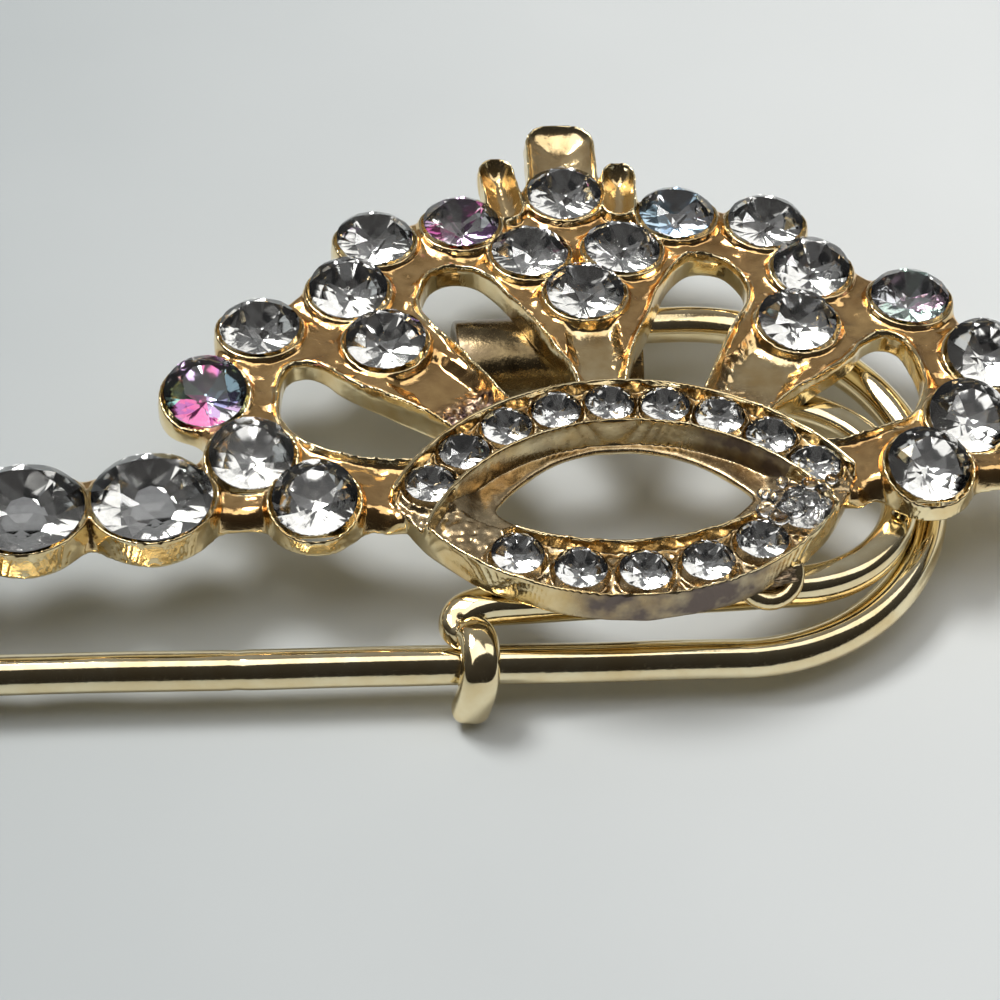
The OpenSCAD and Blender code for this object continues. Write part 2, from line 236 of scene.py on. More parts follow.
def tube_quads(rings: int, sides: int, flip: bool = False) -> Array:
    """The quads between the rings of a tube, where point k of ring i has number i sides + k.

    Args:
        rings: number of rings.
        sides: points in each ring.
        flip: whether the quads turn the other way, as they must where each ring is below the last.

    Returns:
        (n, 4) point numbers, with point k of the earlier ring first in each quad.
    """
    i, k = np.meshgrid(np.arange(rings - 1) * sides, np.arange(sides), indexing="ij")
    m = (k + 1) % sides
    quads = np.stack([i + k, i + m, i + sides + m, i + sides + k], -1).reshape(-1, 4)
    return quads[:, [0, 3, 2, 1]] if flip else quads


def closed_tube(rings: int, sides: int, flip: bool = False) -> list[list[int]]:
    """The faces of a tube of rings with a face on its first and its last ring.

    Args:
        rings: number of rings.
        sides: points in each ring.
        flip: whether the faces turn the other way.

    Returns:
        The quads and the two end faces, all to the same side.
    """
    first = list(range(sides - 1, -1, -1))
    last = list(range((rings - 1) * sides, rings * sides))
    ends = [first[::-1], last[::-1]] if flip else [first, last]
    return [*tube_quads(rings, sides, flip).tolist(), *ends]


def globe(rings: int, sides: int, pole: float) -> Array:
    """A unit ball's points, in rings from above to below: (sin u cos v, sin u sin v, cos u).

    Args:
        rings: number of rings.
        sides: points in each ring.
        pole: angle between a pole and the ring next to it, in radians.

    Returns:
        (rings, sides, 3) points.
    """
    u, v = np.meshgrid(
        np.linspace(pole, np.pi - pole, rings),
        np.linspace(0, 2 * np.pi, sides, endpoint=False),
        indexing="ij",
    )
    return np.stack([np.sin(u) * np.cos(v), np.sin(u) * np.sin(v), np.cos(u)], -1)


def sweep(
    path: Array, side: Array, radii: Array, sides: int, section: Array | float = 1.0
) -> tuple[Array, list[list[int]]]:
    """Carries an oval along a path: point + r0 cos a side + r1 sin a other.

    Args:
        path: (n, 3) points.
        side: (n, 3) unit vectors across the path.
        radii: (n,) radius at each point, or (n, 2) along side and across it.
        sides: number of points round the circle.
        section: a factor on the radius for each point round the oval.

    Returns:
        The points and the faces, pointing out, with an end face on either end.
    """
    along = np.gradient(path, axis=0)
    along /= np.linalg.norm(along, axis=1, keepdims=True)
    side = side - along * np.sum(side * along, axis=1, keepdims=True)
    side /= np.linalg.norm(side, axis=1, keepdims=True)
    other = np.cross(along, side)
    angle = np.linspace(0.0, 2 * np.pi, sides, endpoint=False)
    first, second = (radii, radii) if radii.ndim == 1 else (radii[:, 0], radii[:, 1])
    ring = (
        (section * np.cos(angle))[None, :, None] * (side * first[:, None])[:, None, :]
        + (section * np.sin(angle))[None, :, None] * (other * second[:, None])[:, None, :]
    )
    return (path[:, None, :] + ring).reshape(-1, 3), closed_tube(len(path), sides)


def rounded_ends(path: Array, side: Array, radius: float, steps: int = 6) -> tuple[Array, Array, Array]:
    """Adds half-round ends to a wire's path: radius r sin a at distance r cos a past its end.

    Args:
        path: (n, 3) points of the wire.
        side: (n, 3) side vectors.
        radius: the wire's radius.
        steps: rings in each end.

    Returns:
        The longer path, its side vectors and its radii.
    """
    a = np.linspace(0.02, np.pi / 2, steps, endpoint=False)
    reach, radii = radius * np.cos(a), radius * np.sin(a)
    first = path[0] - path[1]
    first /= np.linalg.norm(first)
    last = path[-1] - path[-2]
    last /= np.linalg.norm(last)
    head = path[0] + reach[:, None] * first
    tail = path[-1] + reach[::-1, None] * last
    whole = np.concatenate([head, path, tail])
    sides = np.concatenate([np.repeat(side[:1], steps, 0), side, np.repeat(side[-1:], steps, 0)])
    return whole, sides, np.concatenate([radii, np.full(len(path), radius), radii[::-1]])


def curve_through(knots: Array, per: int) -> Array:
    """A smooth curve through rows of numbers: Catmull-Rom cubics, with the end rows repeated.

    Args:
        knots: (n, k) rows to pass through.
        per: steps between two rows.

    Returns:
        The rows along the curve.
    """
    k = np.concatenate([knots[:1], knots, knots[-1:]])
    t = np.linspace(0.0, 1.0, per, endpoint=False)[:, None]
    parts = []
    for i in range(len(knots) - 1):
        a, b, c, d = k[i], k[i + 1], k[i + 2], k[i + 3]
        square, cube = 2 * a - 5 * b + 4 * c - d, 3 * b - a - 3 * c + d
        parts.append(0.5 * (2 * b + (c - a) * t + square * t**2 + cube * t**3))
    return np.concatenate(parts + [knots[-1:]])


def surface_of(values: Array, origin: Array, step: float) -> tuple[Array, Array]:
    """Finds the surface where a sampled field is zero, one point in each cell that it crosses.

    A cell's point is the mean of the places where its twelve edges cross zero, and each crossed
    lattice edge gives the quad of the four cells round it.

    Args:
        values: (nx, ny, nz) field, negative inside.
        origin: place of values[0, 0, 0].
        step: lattice spacing.

    Returns:
        The points and the quad faces, pointing out of the negative side.
    """
    inside = values < 0
    nx, ny, nz = (s - 1 for s in values.shape)
    count = np.zeros((nx, ny, nz), dtype=np.int8)
    corners = [(i, j, k) for i in (0, 1) for j in (0, 1) for k in (0, 1)]
    for i, j, k in corners:
        count += inside[i : i + nx, j : j + ny, k : k + nz]
    cells = np.argwhere((count > 0) & (count < 8))
    index = np.full((nx, ny, nz), -1, dtype=np.int64)
    index[tuple(cells.T)] = np.arange(len(cells))
    corner_values = {
        c: values[cells[:, 0] + c[0], cells[:, 1] + c[1], cells[:, 2] + c[2]] for c in corners
    }
    total, hits = np.zeros((len(cells), 3)), np.zeros(len(cells))
    for a in corners:
        for axis in range(3):
            if a[axis]:
                continue
            b = tuple(a[n] + (n == axis) for n in range(3))
            va, vb = corner_values[a], corner_values[b]
            crossed = (va < 0) != (vb < 0)
            t = np.where(crossed, va / np.where(crossed, va - vb, 1.0), 0.0)
            spot = np.array(a, dtype=float)[None, :] + t[:, None] * (np.arange(3) == axis)
            total += spot * crossed[:, None]
            hits += crossed
    points = origin + (cells + total / hits[:, None]) * step
    faces = []
    for axis in range(3):
        u, v = [n for n in range(3) if n != axis]
        low = [slice(None)] * 3
        high = [slice(None)] * 3
        low[axis], high[axis] = slice(None, -1), slice(1, None)
        a, b = inside[tuple(low)], inside[tuple(high)]
        for starts in (True, False):
            edges = np.argwhere((a & ~b) if starts else (~a & b))
            keep = (edges[:, u] > 0) & (edges[:, v] > 0)
            keep &= (edges[:, u] < values.shape[u] - 1) & (edges[:, v] < values.shape[v] - 1)
            edges = edges[keep]
            quad = []
            for du, dv in ((1, 1), (0, 1), (0, 0), (1, 0)):
                cell = edges.copy()
                cell[:, u] -= du
                cell[:, v] -= dv
                quad.append(index[tuple(cell.T)])
            if starts != (axis != 1):
                quad = quad[::-1]
            faces.append(np.stack(quad, -1))
    return points, np.concatenate(faces)


def point_normals(points: Array, faces: Array) -> Array:
    """The mean direction of the faces round each point, weighted by their areas.

    Args:
        points: (n, 3) points.
        faces: (m, 4) quads.

    Returns:
        (n, 3) unit vectors.
    """
    a, b = points[faces[:, 2]] - points[faces[:, 0]], points[faces[:, 3]] - points[faces[:, 1]]
    normal = np.cross(a, b)
    total = np.zeros_like(points)
    for corner in range(4):
        for axis in range(3):
            total[:, axis] += np.bincount(faces[:, corner], normal[:, axis], len(points))
    return total / np.maximum(np.linalg.norm(total, axis=1, keepdims=True), 1e-12)


# Where the stones sit


@dataclass(frozen=True)
class Seat:
    """One stone's place: its node, its girdle's middle, its lean toward the brow and its size."""

    node: str
    x: float
    y: float
    lean: float
    diameter: float
    cut: Cut = Cut.CLEAR

    @property
    def slope(self) -> float:
        """Rise of the girdle for each millimetre toward the topper."""
        return math.tan(math.radians(self.lean))


@dataclass(frozen=True)
class Layout:
    """The places of all the stones, from the crown's and the band's own sizes."""

    half_w: float = 15.6
    height: float = 17.46
    eye_half_w: float = 8.92
    eye_up: float = 5.4
    eye_down: float = 6.2
    strip_up: float = 2.55
    strip_down: float = 3.0
    open_half_w: float = 6.65
    open_tip_y: float = -0.48
    row_n: int = 3
    row_y: float = 0.38
    row_pitch: float = 4.69
    row_droop: float = 2.6
    row_wall: float = 0.3
    row_seat_r: float = 2.225
    neck: float = 1.55
    chip_gap: float = 0.22
    low_chip_gap: float = 0.42
    # How far the small stones stand inside the middle of their strips' edges.
    chip_inset: float = 0.3
    low_chip_inset: float = 0.12
    # Share of half_w, share of height, lean in degrees; the left half, from the outside.
    half_cups: tuple[tuple[float, float, float], ...] = (
        (1.000, 0.341, 17),
        (0.856, 0.554, 3),
        (0.619, 0.676, 8),
        (0.534, 0.857, 2),
        (0.296, 0.905, 2),
        (0.125, 0.782, 2),
        (0.538, 0.489, 8),
        (0.895, 0.135, 17),
        (0.751, -0.011, 17),
    )
    axis_cups: tuple[tuple[float, float, float], ...] = ((0, 0.628, 3), (0, 1.000, 2))
    rainbow: tuple[int, ...] = (0, 4, 10, 13)

    @staticmethod
    def arc(half: float, rise: float) -> float:
        """Radius of the arc through two tips and its middle: (half^2 + rise^2) / (2 rise)."""
        return (half * half + rise * rise) / (2 * rise)

    @property
    def circles(self) -> dict[str, tuple[float, float]]:
        """The arcs of the band's four edges.

        Returns:
            The middle's Y and the radius of each edge: outer and inner, of the upper and lower strip.
        """
        up = self.arc(self.eye_half_w, self.eye_up)
        down = self.arc(self.eye_half_w, self.eye_down)
        top = self.eye_up - self.strip_up
        low = self.eye_down - self.strip_down
        in_up = self.arc(self.open_half_w, top - self.open_tip_y)
        in_down = self.arc(self.open_half_w, low + self.open_tip_y)
        return {
            "up": (self.eye_up - up, up),
            "down": (down - self.eye_down, down),
            "in_up": (top - in_up, in_up),
            "in_down": (in_down - low, in_down),
        }

    @property
    def cups(self) -> list[Seat]:
        """The twenty clear and rainbow stones of the crown.

        Returns:
            Their seats: the left half, the right half and the two on the axis.
        """
        spots = [(s * c[0] * self.half_w, c[1] * self.height, c[2]) for s in (-1, 1) for c in self.half_cups]
        spots += [(c[0] * self.half_w, c[1] * self.height, c[2]) for c in self.axis_cups]
        return [
            Seat(f"clear_stone_{i + 1}", x, y, lean, STONE_D, Cut.RAINBOW if i in self.rainbow else Cut.CLEAR)
            for i, (x, y, lean) in enumerate(spots)
        ]

    @property
    def chips(self) -> list[Seat]:
        """The small stones along the middle of the band's two strips.

        Returns:
            Their seats: the upper strip and then the lower one, each from the left.
        """
        edges = self.circles
        up_r = (edges["up"][1] + edges["in_up"][1]) / 2 - self.chip_inset
        down_r = (edges["down"][1] + edges["in_down"][1]) / 2 - self.chip_inset
        up_y = self.eye_up - self.strip_up / 2
        down_y = -self.eye_down + self.strip_down / 2 - self.low_chip_inset
        out = []
        for k in range(-4, 5):
            a = k * (CHIP_D + self.chip_gap) / up_r
            out.append((up_r * math.sin(a), up_y - up_r * (1 - math.cos(a))))
        for k in range(-2, 4):
            a = k * (CHIP_D + self.low_chip_gap) / down_r
            out.append((down_r * math.sin(a), down_y + down_r * (1 - math.cos(a))))
        return [Seat(f"band_stone_{i + 1}", x, y, 0, CHIP_D) for i, (x, y) in enumerate(out)]

    @property
    def row(self) -> list[Seat]:
        """The large stones of the two side rows.

        Returns:
            Their seats: the left row and then the right one, each from the crown outward.
        """
        inner_cup = self.half_cups[8][0] * self.half_w + STONE_D / 2 + self.row_wall
        start = inner_cup + self.neck + self.row_seat_r + self.row_wall
        a = math.radians(self.row_droop)
        out = []
        for s in (-1, 1):
            for k in range(self.row_n):
                along = k * self.row_pitch
                out.append((s * (start + along * math.cos(a)), self.row_y - along * math.sin(a)))
        return [Seat(f"large_stone_{i + 1}", x, y, 0, LARGE_D) for i, (x, y) in enumerate(out)]


# Finishes


def node_group(name: str, ins: dict[str, str], outs: dict[str, str]) -> bpy.types.NodeTree:
    """A new shader node group with the named sockets.

    Args:
        name: the group's name.
        ins: input names and their kinds, such as Float or Vector.
        outs: output names and their kinds.

    Returns:
        The node tree, with its input and output nodes.
    """
    tree = bpy.data.node_groups.new(name, "ShaderNodeTree")
    for key, kind in ins.items():
        tree.interface.new_socket(key, in_out="INPUT", socket_type=f"NodeSocket{kind}")
    for key, kind in outs.items():
        tree.interface.new_socket(key, in_out="OUTPUT", socket_type=f"NodeSocket{kind}")
    tree.nodes.new("NodeGroupInput").name = "in"
    tree.nodes.new("NodeGroupOutput").name = "out"
    return tree


class Nodes:
    """A short way to add and join shader nodes in one tree."""

    def __init__(self, tree: bpy.types.NodeTree) -> None:
        """Keeps the tree that new nodes go into."""
        self.tree = tree

    def add(self, kind: str, values: dict | None = None, **settings: object) -> bpy.types.Node:
        """Adds a node.

        Args:
            kind: the node's type without the word ShaderNode.
            values: input sockets by name or number, each a constant or another node's socket.
            settings: the node's own properties.

        Returns:
            The new node.
        """
        node = self.tree.nodes.new(f"ShaderNode{kind}")
        for key, value in settings.items():
            setattr(node, key, value)
        for key, value in (values or {}).items():
            self.put(node.inputs[key], value)
        return node

    def put(self, socket: bpy.types.NodeSocket, value: object) -> None:
        """Sets a socket to a constant, or links another node's output to it.

        Args:
            socket: the input to fill.
            value: a constant, or another node's output.
        """
        if isinstance(value, bpy.types.NodeSocket):
            self.tree.links.new(value, socket)
        else:
            socket.default_value = value

    def math(self, operation: str, a: object, b: object = 0.0, clamp: bool = False) -> bpy.types.NodeSocket:
        """The result of one sum on two values."""
        node = self.add("Math", {0: a, 1: b}, operation=operation, use_clamp=clamp)
        return node.outputs[0]

    def mix(self, share: object, a: object, b: object) -> bpy.types.NodeSocket:
        """A colour between a and b.

        Args:
            share: 0 gives a and 1 gives b.
            a: first colour.
            b: second colour.

        Returns:
            The mixed colour's socket.
        """
        node = self.add("Mix", data_type="RGBA")
        self.put(node.inputs[0], share)
        self.put(node.inputs[6], a)
        self.put(node.inputs[7], b)
        return node.outputs[2]

    def noise(
        self, where: object, scale: float, detail: float = 3.0, rough: float = 0.5
    ) -> bpy.types.NodeSocket:
        """Fractal noise about 0.5."""
        node = self.add("TexNoise", {"Vector": where, "Scale": scale, "Detail": detail, "Roughness": rough})
        return node.outputs["Fac"]

    def ramp(self, value: object, stops: list[tuple[float, Colour]]) -> bpy.types.NodeSocket:
        """A colour read from a list of stops.

        Args:
            value: where to read, from 0 to 1.
            stops: places from 0 to 1, each with its colour.

        Returns:
            The colour's socket.
        """
        node = self.add("ValToRGB", {0: value})
        ramp = node.color_ramp
        while len(ramp.elements) < len(stops):
            ramp.elements.new(0.5)
        for element, (place, colour) in zip(ramp.elements, stops):
            element.position = place
            element.color = (*colour, 1.0)
        return node.outputs["Color"]


def open_material(name: str) -> tuple[bpy.types.Material, Nodes]:
    """A new, empty material.

    Args:
        name: the material's name.

    Returns:
        The material, and its nodes to add to.
    """
    material = bpy.data.materials.new(name)
    material.use_nodes = True
    material.node_tree.nodes.clear()
    return material, Nodes(material.node_tree)


def plating_group() -> bpy.types.NodeTree:
    """The unevenness of plated metal: tone, dullness and relief, at the scales of casting and rubbing.

    Returns:
        The shared group, which gives only values.
    """
    tree = node_group(
        "plating",
        {"Vector": "Vector", "Grain": "Float", "Wear": "Float"},
        {"Tone": "Float", "Dull": "Float", "Height": "Float"},
    )
    n = Nodes(tree)
    source, out = tree.nodes["in"], tree.nodes["out"]
    where, grain, wear = source.outputs["Vector"], source.outputs["Grain"], source.outputs["Wear"]
    broad = n.noise(where, 420.0, 2.0)
    middle = n.noise(where, 1500.0, 3.0)
    fine = n.noise(where, 9000.0, 4.0, 0.6)
    tone = n.math("ADD", n.math("MULTIPLY", broad, 0.6), n.math("MULTIPLY", middle, 0.4))
    n.put(out.inputs["Tone"], tone)
    spots = n.math("MULTIPLY", n.math("SUBTRACT", fine, 0.56), 4.0, clamp=True)
    n.put(out.inputs["Dull"], n.math("MULTIPLY", spots, wear))
    relief = n.math("ADD", n.math("MULTIPLY", middle, 0.8), n.math("MULTIPLY", fine, 0.12))
    n.put(out.inputs["Height"], n.math("MULTIPLY", relief, grain))
    return tree


# The webs' copper tone, which partly paints the warm reflection that the gold around them throws in.
COPPER_AND_BOUNCE_DEEP = (0.60, 0.34, 0.14)
COPPER_AND_BOUNCE_PALE = (0.97, 0.63, 0.27)
# Dark colour of the painted shade, with some tarnish, on shaded walls and in the barrel's bore.
SHADE_AND_TARNISH = (0.17, 0.135, 0.12)
GRIT = [(0.42, (0.05, 0.03, 0.035)), (0.55, (0.28, 0.19, 0.14)), (0.68, (0.9, 0.75, 0.5))]


@dataclass(frozen=True)
class GoldFinish:
    """Plated metal: pale on edges, warmer in the webs with a copper tone that partly paints warm reflection,
    dark and rough in the pits, and painted shade with tarnish on shaded walls.
    """

    name: str
    pale: Colour
    deep: Colour
    roughness: float
    grain: float
    wear: float
    bump: float
    worn: bool = False

    def build(self, plating: bpy.types.NodeTree) -> bpy.types.Material:
        """Makes the material.

        Args:
            plating: the shared group of the plating's unevenness.

        Returns:
            The material, which reads the web, pit and painted shade attributes where worn is set.
        """
        material, n = open_material(self.name)
        where = n.add("TexCoord").outputs["Object"]
        group = n.add("Group")
        group.node_tree = plating
        n.put(group.inputs["Vector"], where)
        group.inputs["Grain"].default_value = self.grain
        group.inputs["Wear"].default_value = self.wear
        shade = n.ramp(group.outputs["Tone"], [(0.35, self.deep), (0.62, self.pale)])
        rough = n.math("ADD", n.math("MULTIPLY", group.outputs["Dull"], 0.3), self.roughness)
        if self.worn:
            web = n.add("Attribute", attribute_name="web").outputs["Fac"]
            pit = n.add("Attribute", attribute_name="pit").outputs["Fac"]
            # Copper tone of the webs, partly a painted warm reflection.
            copper_and_bounce = n.ramp(group.outputs["Tone"], [(0.3, COPPER_AND_BOUNCE_DEEP), (0.65, COPPER_AND_BOUNCE_PALE)])
            shade = n.mix(web, shade, copper_and_bounce)
            shade = n.mix(pit, shade, n.ramp(n.noise(where, 3800.0, 4.0, 0.7), GRIT))
            # Painted shade with some tarnish: the attribute darkens shaded walls and the barrel's bore toward
            # a dark colour.
            gone = n.add("Attribute", attribute_name="shade_and_tarnish").outputs["Fac"]
            shade_patch = n.math("MULTIPLY", gone, n.math("MULTIPLY", n.noise(where, 1100.0, 3.0), 1.7), clamp=True)
            shade = n.mix(shade_patch, shade, (*SHADE_AND_TARNISH, 1.0))
            rough = n.math("ADD", rough, n.math("MULTIPLY", n.math("MAXIMUM", pit, shade_patch), 0.25))
        bump = n.add("Bump", {"Height": group.outputs["Height"], "Strength": self.bump, "Distance": 0.00012})
        shader = n.add("BsdfPrincipled", {"Base Color": shade, "Metallic": 1.0, "Roughness": rough})
        n.put(shader.inputs["Normal"], bump.outputs["Normal"])
        n.add("OutputMaterial", {"Surface": shader.outputs[0]}).is_active_output = True
        return material


GOLD = {
    Metal.CASTING: GoldFinish(
        "cast_gold_plate", (0.97, 0.83, 0.52), (0.80, 0.58, 0.27), 0.13, 1.0, 0.6, 0.35, worn=True
    ),
    Metal.WIRE: GoldFinish("wire_gold_plate", (0.96, 0.84, 0.56), (0.84, 0.66, 0.36), 0.09, 0.6, 0.7, 0.12),
    # Painted shade: a dark brown gold for the barrel, which lies in the crown's shade.
    Metal.BARREL: GoldFinish(
        "shaded_gold_plate", (0.33, 0.25, 0.13), (0.11, 0.075, 0.035), 0.2, 1.0, 0.9, 0.4, worn=True
    ),
    Metal.CAP: GoldFinish("cap_gold_plate", (0.95, 0.80, 0.48), (0.82, 0.61, 0.29), 0.16, 1.0, 0.8, 0.3),
}


@dataclass(frozen=True)
class StoneFinish:
    """A foil-backed glass stone: clear glass over a mirror that may carry a rainbow coat."""

    glass_tint: Colour = (0.98, 0.98, 0.97)
    foil_tint: Colour = (0.96, 0.96, 0.95)

    def glass(self, name: str, haze: float = 0.0) -> bpy.types.Material:
        """The stone's glass, with a touch of scratching on its facets.

        Args:
            name: the material's name.
            haze: roughness added all over.

        Returns:
            The glass.
        """
        material, n = open_material(name)
        where = n.add("TexCoord").outputs["Object"]
        scratch = n.noise(where, 2600.0, 3.0)
        rough = n.math("ADD", n.math("MULTIPLY", scratch, 0.03), haze)
        shader = n.add(
            "BsdfPrincipled",
            {
                "Base Color": (*self.glass_tint, 1.0),
                "Roughness": rough,
                "IOR": 1.56,
                "Transmission Weight": 1.0,
            },
        )
        n.add("OutputMaterial", {"Surface": shader.outputs[0]}).is_active_output = True
        return material

    def foil(self, name: str, rainbow: bool, dark: float = 0.0) -> bpy.types.Material:
        """The mirror behind the glass; a rainbow one takes each facet's own colour.

        Args:
            name: the material's name.
            rainbow: whether the coat attribute gives the colour.
            dark: share of the light that a worn foil loses.

        Returns:
            The foil.
        """
        material, n = open_material(name)
        where = n.add("TexCoord").outputs["Object"]
        cloud = n.noise(where, 1900.0, 3.0)
        if rainbow:
            base = n.add("Attribute", attribute_name="coat").outputs["Color"]
            shade = n.mix(n.math("MULTIPLY", cloud, 0.3), base, (0.8, 0.75, 0.9, 1.0))
        else:
            low = tuple(c * (0.86 - dark) for c in self.foil_tint)
            high = tuple(c * (1.0 - dark) for c in self.foil_tint)
            shade = n.ramp(cloud, [(0.35, low), (0.6, high)])
        shader = n.add("BsdfPrincipled", {"Base Color": shade, "Metallic": 1.0, "Roughness": 0.07})
        n.add("OutputMaterial", {"Surface": shader.outputs[0]}).is_active_output = True
        return material


# The casting


@dataclass
class Casting:
    """The crown, the eye-shaped band and the side rows as one molten-looking casting.

    The plan is a signed distance on a grid: cups and ribs blended together, the band's eye shape
    joined on and its opening cut out. Two height maps give the top and the back, and the surface
    lies where the rounded meeting of plan, top and back is zero.
    """

    layout: Layout
    step: float = 0.075
    edge_r: float = 0.13
    rim_w: float = 0.28
    cup_wall: float = 0.27
    opening_r: float = 0.55
    tip_x: float = 5.35
    wall_lean: float = 0.34
    half_outline: tuple[int, ...] = (4, 3, 2, 1, 0, 7, 8)
    # The openings of one half, drawn inward by opening_r: share of half_w, share of height.
    side_opening: tuple[tuple[float, float], ...] = (
        (0.724, 0.392),
        (0.766, 0.401),
        (0.782, 0.304),
        (0.772, 0.258),
        (0.737, 0.200),
        (0.670, 0.160),
        (0.596, 0.143),
        (0.500, 0.132),
        (0.423, 0.166),
        (0.660, 0.329),
    )
    brow_opening: tuple[tuple[float, float], ...] = (
        (0.359, 0.707),
        (0.304, 0.704),
        (0.247, 0.636),
        (0.183, 0.501),
        (0.128, 0.401),
        (0.103, 0.298),
        (0.192, 0.275),
        (0.295, 0.447),
        (0.340, 0.521),
        (0.378, 0.578),
        (0.397, 0.641),
    )
    # Half the length of the sampled plan, and its lowest and highest Y.
    reach_x: float = 30.0
    reach_y: tuple[float, float] = (-6.7, 22.8)
    # Where the web's outline and the last ribs meet the band's tips.
    wing_x: float = 8.3
    # The two broad ribs and the stem: where they end on the band, their widths and their hollows.
    broad_foot: tuple[float, float] = (4.64, 3.67)
    broad_w: float = 3.2
    broad_depth: float = 0.66
    stem_foot_y: float = 4.9
    stem_w: float = 2.6
    stem_depth: float = 0.52
    # Ribs between the cups of a side: the two cups' numbers and the width.
    rib_cups: tuple[tuple[int, int, float], ...] = (
        (0, 1, 2.2),
        (1, 2, 2.2),
        (2, 3, 2.4),
        (3, 4, 2.2),
        (4, 5, 2.4),
        (0, 7, 2.2),
        (7, 8, 2.4),
    )
    # The casting's pieces, each from one X to the next.
    cuts: tuple[tuple[str, float, float], ...] = (
        ("left_casting", -31.0, -9.6),
        ("left_inner_casting", -9.6, -4.4),
        ("left_middle_casting", -4.4, 0.4),
        ("right_middle_casting", 0.4, 5.0),
        ("right_inner_casting", 5.0, 9.6),
        ("right_casting", 9.6, 31.0),
    )
    pieces: list[bpy.types.Object] = field(default_factory=list)

    @staticmethod
    def around(seats: list[Seat], x: Array, y: Array) -> Iterator[tuple[Seat, Array]]:
        """Each seat, with how far every place of the plan is from its middle."""
        for seat in seats:
            yield seat, np.hypot(x - seat.x, y - seat.y)

    def grid(self) -> tuple[Array, Array]:
        """The plan's sample places.

        Returns:
            Places along X and along Y.
        """
        xs = np.arange(-self.reach_x, self.reach_x + self.step, self.step)
        ys = np.arange(*self.reach_y, self.step)
        return xs, ys

    @staticmethod
    def strip(x: Array, y: Array, a: tuple[float, float], b: tuple[float, float], w: float) -> Array:
        """Distance to a round-ended strip.

        Args:
            x: plan X.
            y: plan Y.
            a: middle of one end.
            b: middle of the other end.
            w: the strip's width.

        Returns:
            The distance at each place, below 0 inside.
        """
        ax, ay = a
        dx, dy = b[0] - ax, b[1] - ay
        t = np.clip(((x - ax) * dx + (y - ay) * dy) / (dx * dx + dy * dy), 0.0, 1.0)
        return np.hypot(x - ax - t * dx, y - ay - t * dy) - w / 2

    @staticmethod
    def polygon(x: Array, y: Array, corners: list[tuple[float, float]]) -> Array:
        """Signed distance to a polygon: that of its nearest edge, negative where edges wind round.

        Args:
            x: plan X.
            y: plan Y.
            corners: the polygon's corners in order.

        Returns:
            The distance at each place.
        """
        best = np.full(x.shape, 1e9)
        inside = np.zeros(x.shape, dtype=bool)
        for (ax, ay), (bx, by) in zip(corners, corners[1:] + corners[:1]):
            dx, dy = bx - ax, by - ay
            t = np.clip(((x - ax) * dx + (y - ay) * dy) / (dx * dx + dy * dy), 0.0, 1.0)
            best = np.minimum(best, np.hypot(x - ax - t * dx, y - ay - t * dy))
            crosses = (ay > y) != (by > y)
            reach = ax + (y - ay) * dx / (dy if dy else 1e-9)
            inside ^= crosses & (x < reach)
        return np.where(inside, -best, best)

    def outline(self) -> list[tuple[float, float]]:
        """The web's outline through the outer cups, from the topper round to the band and back.

        Returns:
            The outline's corners in order.
        """
        c = self.layout.cups
        left = [(c[i].x, c[i].y) for i in self.half_outline]
        right = [(-px, py) for px, py in left[::-1]]
        return [(0.0, c[19].y), *left, (-self.wing_x, 0.0), (self.wing_x, 0.0), *right]

    def ribs(self) -> list[tuple[tuple[float, float], tuple[float, float], float]]:
        """The ribs along the outside.

        Returns:
            For each rib its two ends, which are middles of cups, and its width.
        """
        c, row = self.layout.cups, self.layout.row
        out = []
        for side, s, first in ((0, -1, 0), (9, 1, 3)):
            spots = [(c[side + i].x, c[side + i].y) for i in range(9)]
            near_large, far_large = [(row[i].x, row[i].y) for i in (first, first + 2)]
            out += [(spots[a], spots[b], w) for a, b, w in self.rib_cups]
            out.append((spots[4], (0.0, c[19].y), 1.9))
            out.append((spots[8], (s * self.wing_x, 0.0), 2.4))
            out.append((spots[7], near_large, 2.2))
            out.append((spots[8], near_large, 2.0))
            out.append((near_large, far_large, 3.5))
        return out

    def broad_ribs(self) -> list[tuple[tuple[float, float], tuple[float, float], float]]:
        """The two broad ribs that run down to the band.

        Returns:
            For each its upper end, its foot and its width.
        """
        c = self.layout.cups
        foot_x, foot_y = self.broad_foot
        return [((c[i].x, c[i].y), (s * foot_x, foot_y), self.broad_w) for i, s in ((6, -1), (15, 1))]

    def leaves(self) -> list[tuple[float, float, float, float, float]]:
        """The topper's three leaves.

        Returns:
            For each its middle's X and Y, half width, half length and turn in radians.
        """
        top = self.layout.height
        return [
            (0.15, top + 2.05, 1.58, 2.25, -0.06),
            (-2.70, top + 0.30, 0.84, 1.85, 0.10),
            (2.36, top - 0.05, 0.80, 1.62, -0.14),
        ]

    @staticmethod
    def leaf_distance(x: Array, y: Array, leaf: tuple[float, float, float, float, float]) -> Array:
        """Distance to a rounded box whose corners are rounded by most of its half width.

        Args:
            x: plan X.
            y: plan Y.
            leaf: a row of leaves().

        Returns:
            The distance at each place, below 0 inside.
        """
        lx, ly, half_w, half_l, turn = leaf
        u = (x - lx) * math.cos(turn) + (y - ly) * math.sin(turn)
        v = (y - ly) * math.cos(turn) - (x - lx) * math.sin(turn)
        r = half_w * (0.72 if half_w > 1 else 0.98)
        qx, qy = np.abs(u) - half_w + r, np.abs(v) - half_l + r
        return np.hypot(np.maximum(qx, 0), np.maximum(qy, 0)) + np.minimum(np.maximum(qx, qy), 0) - r

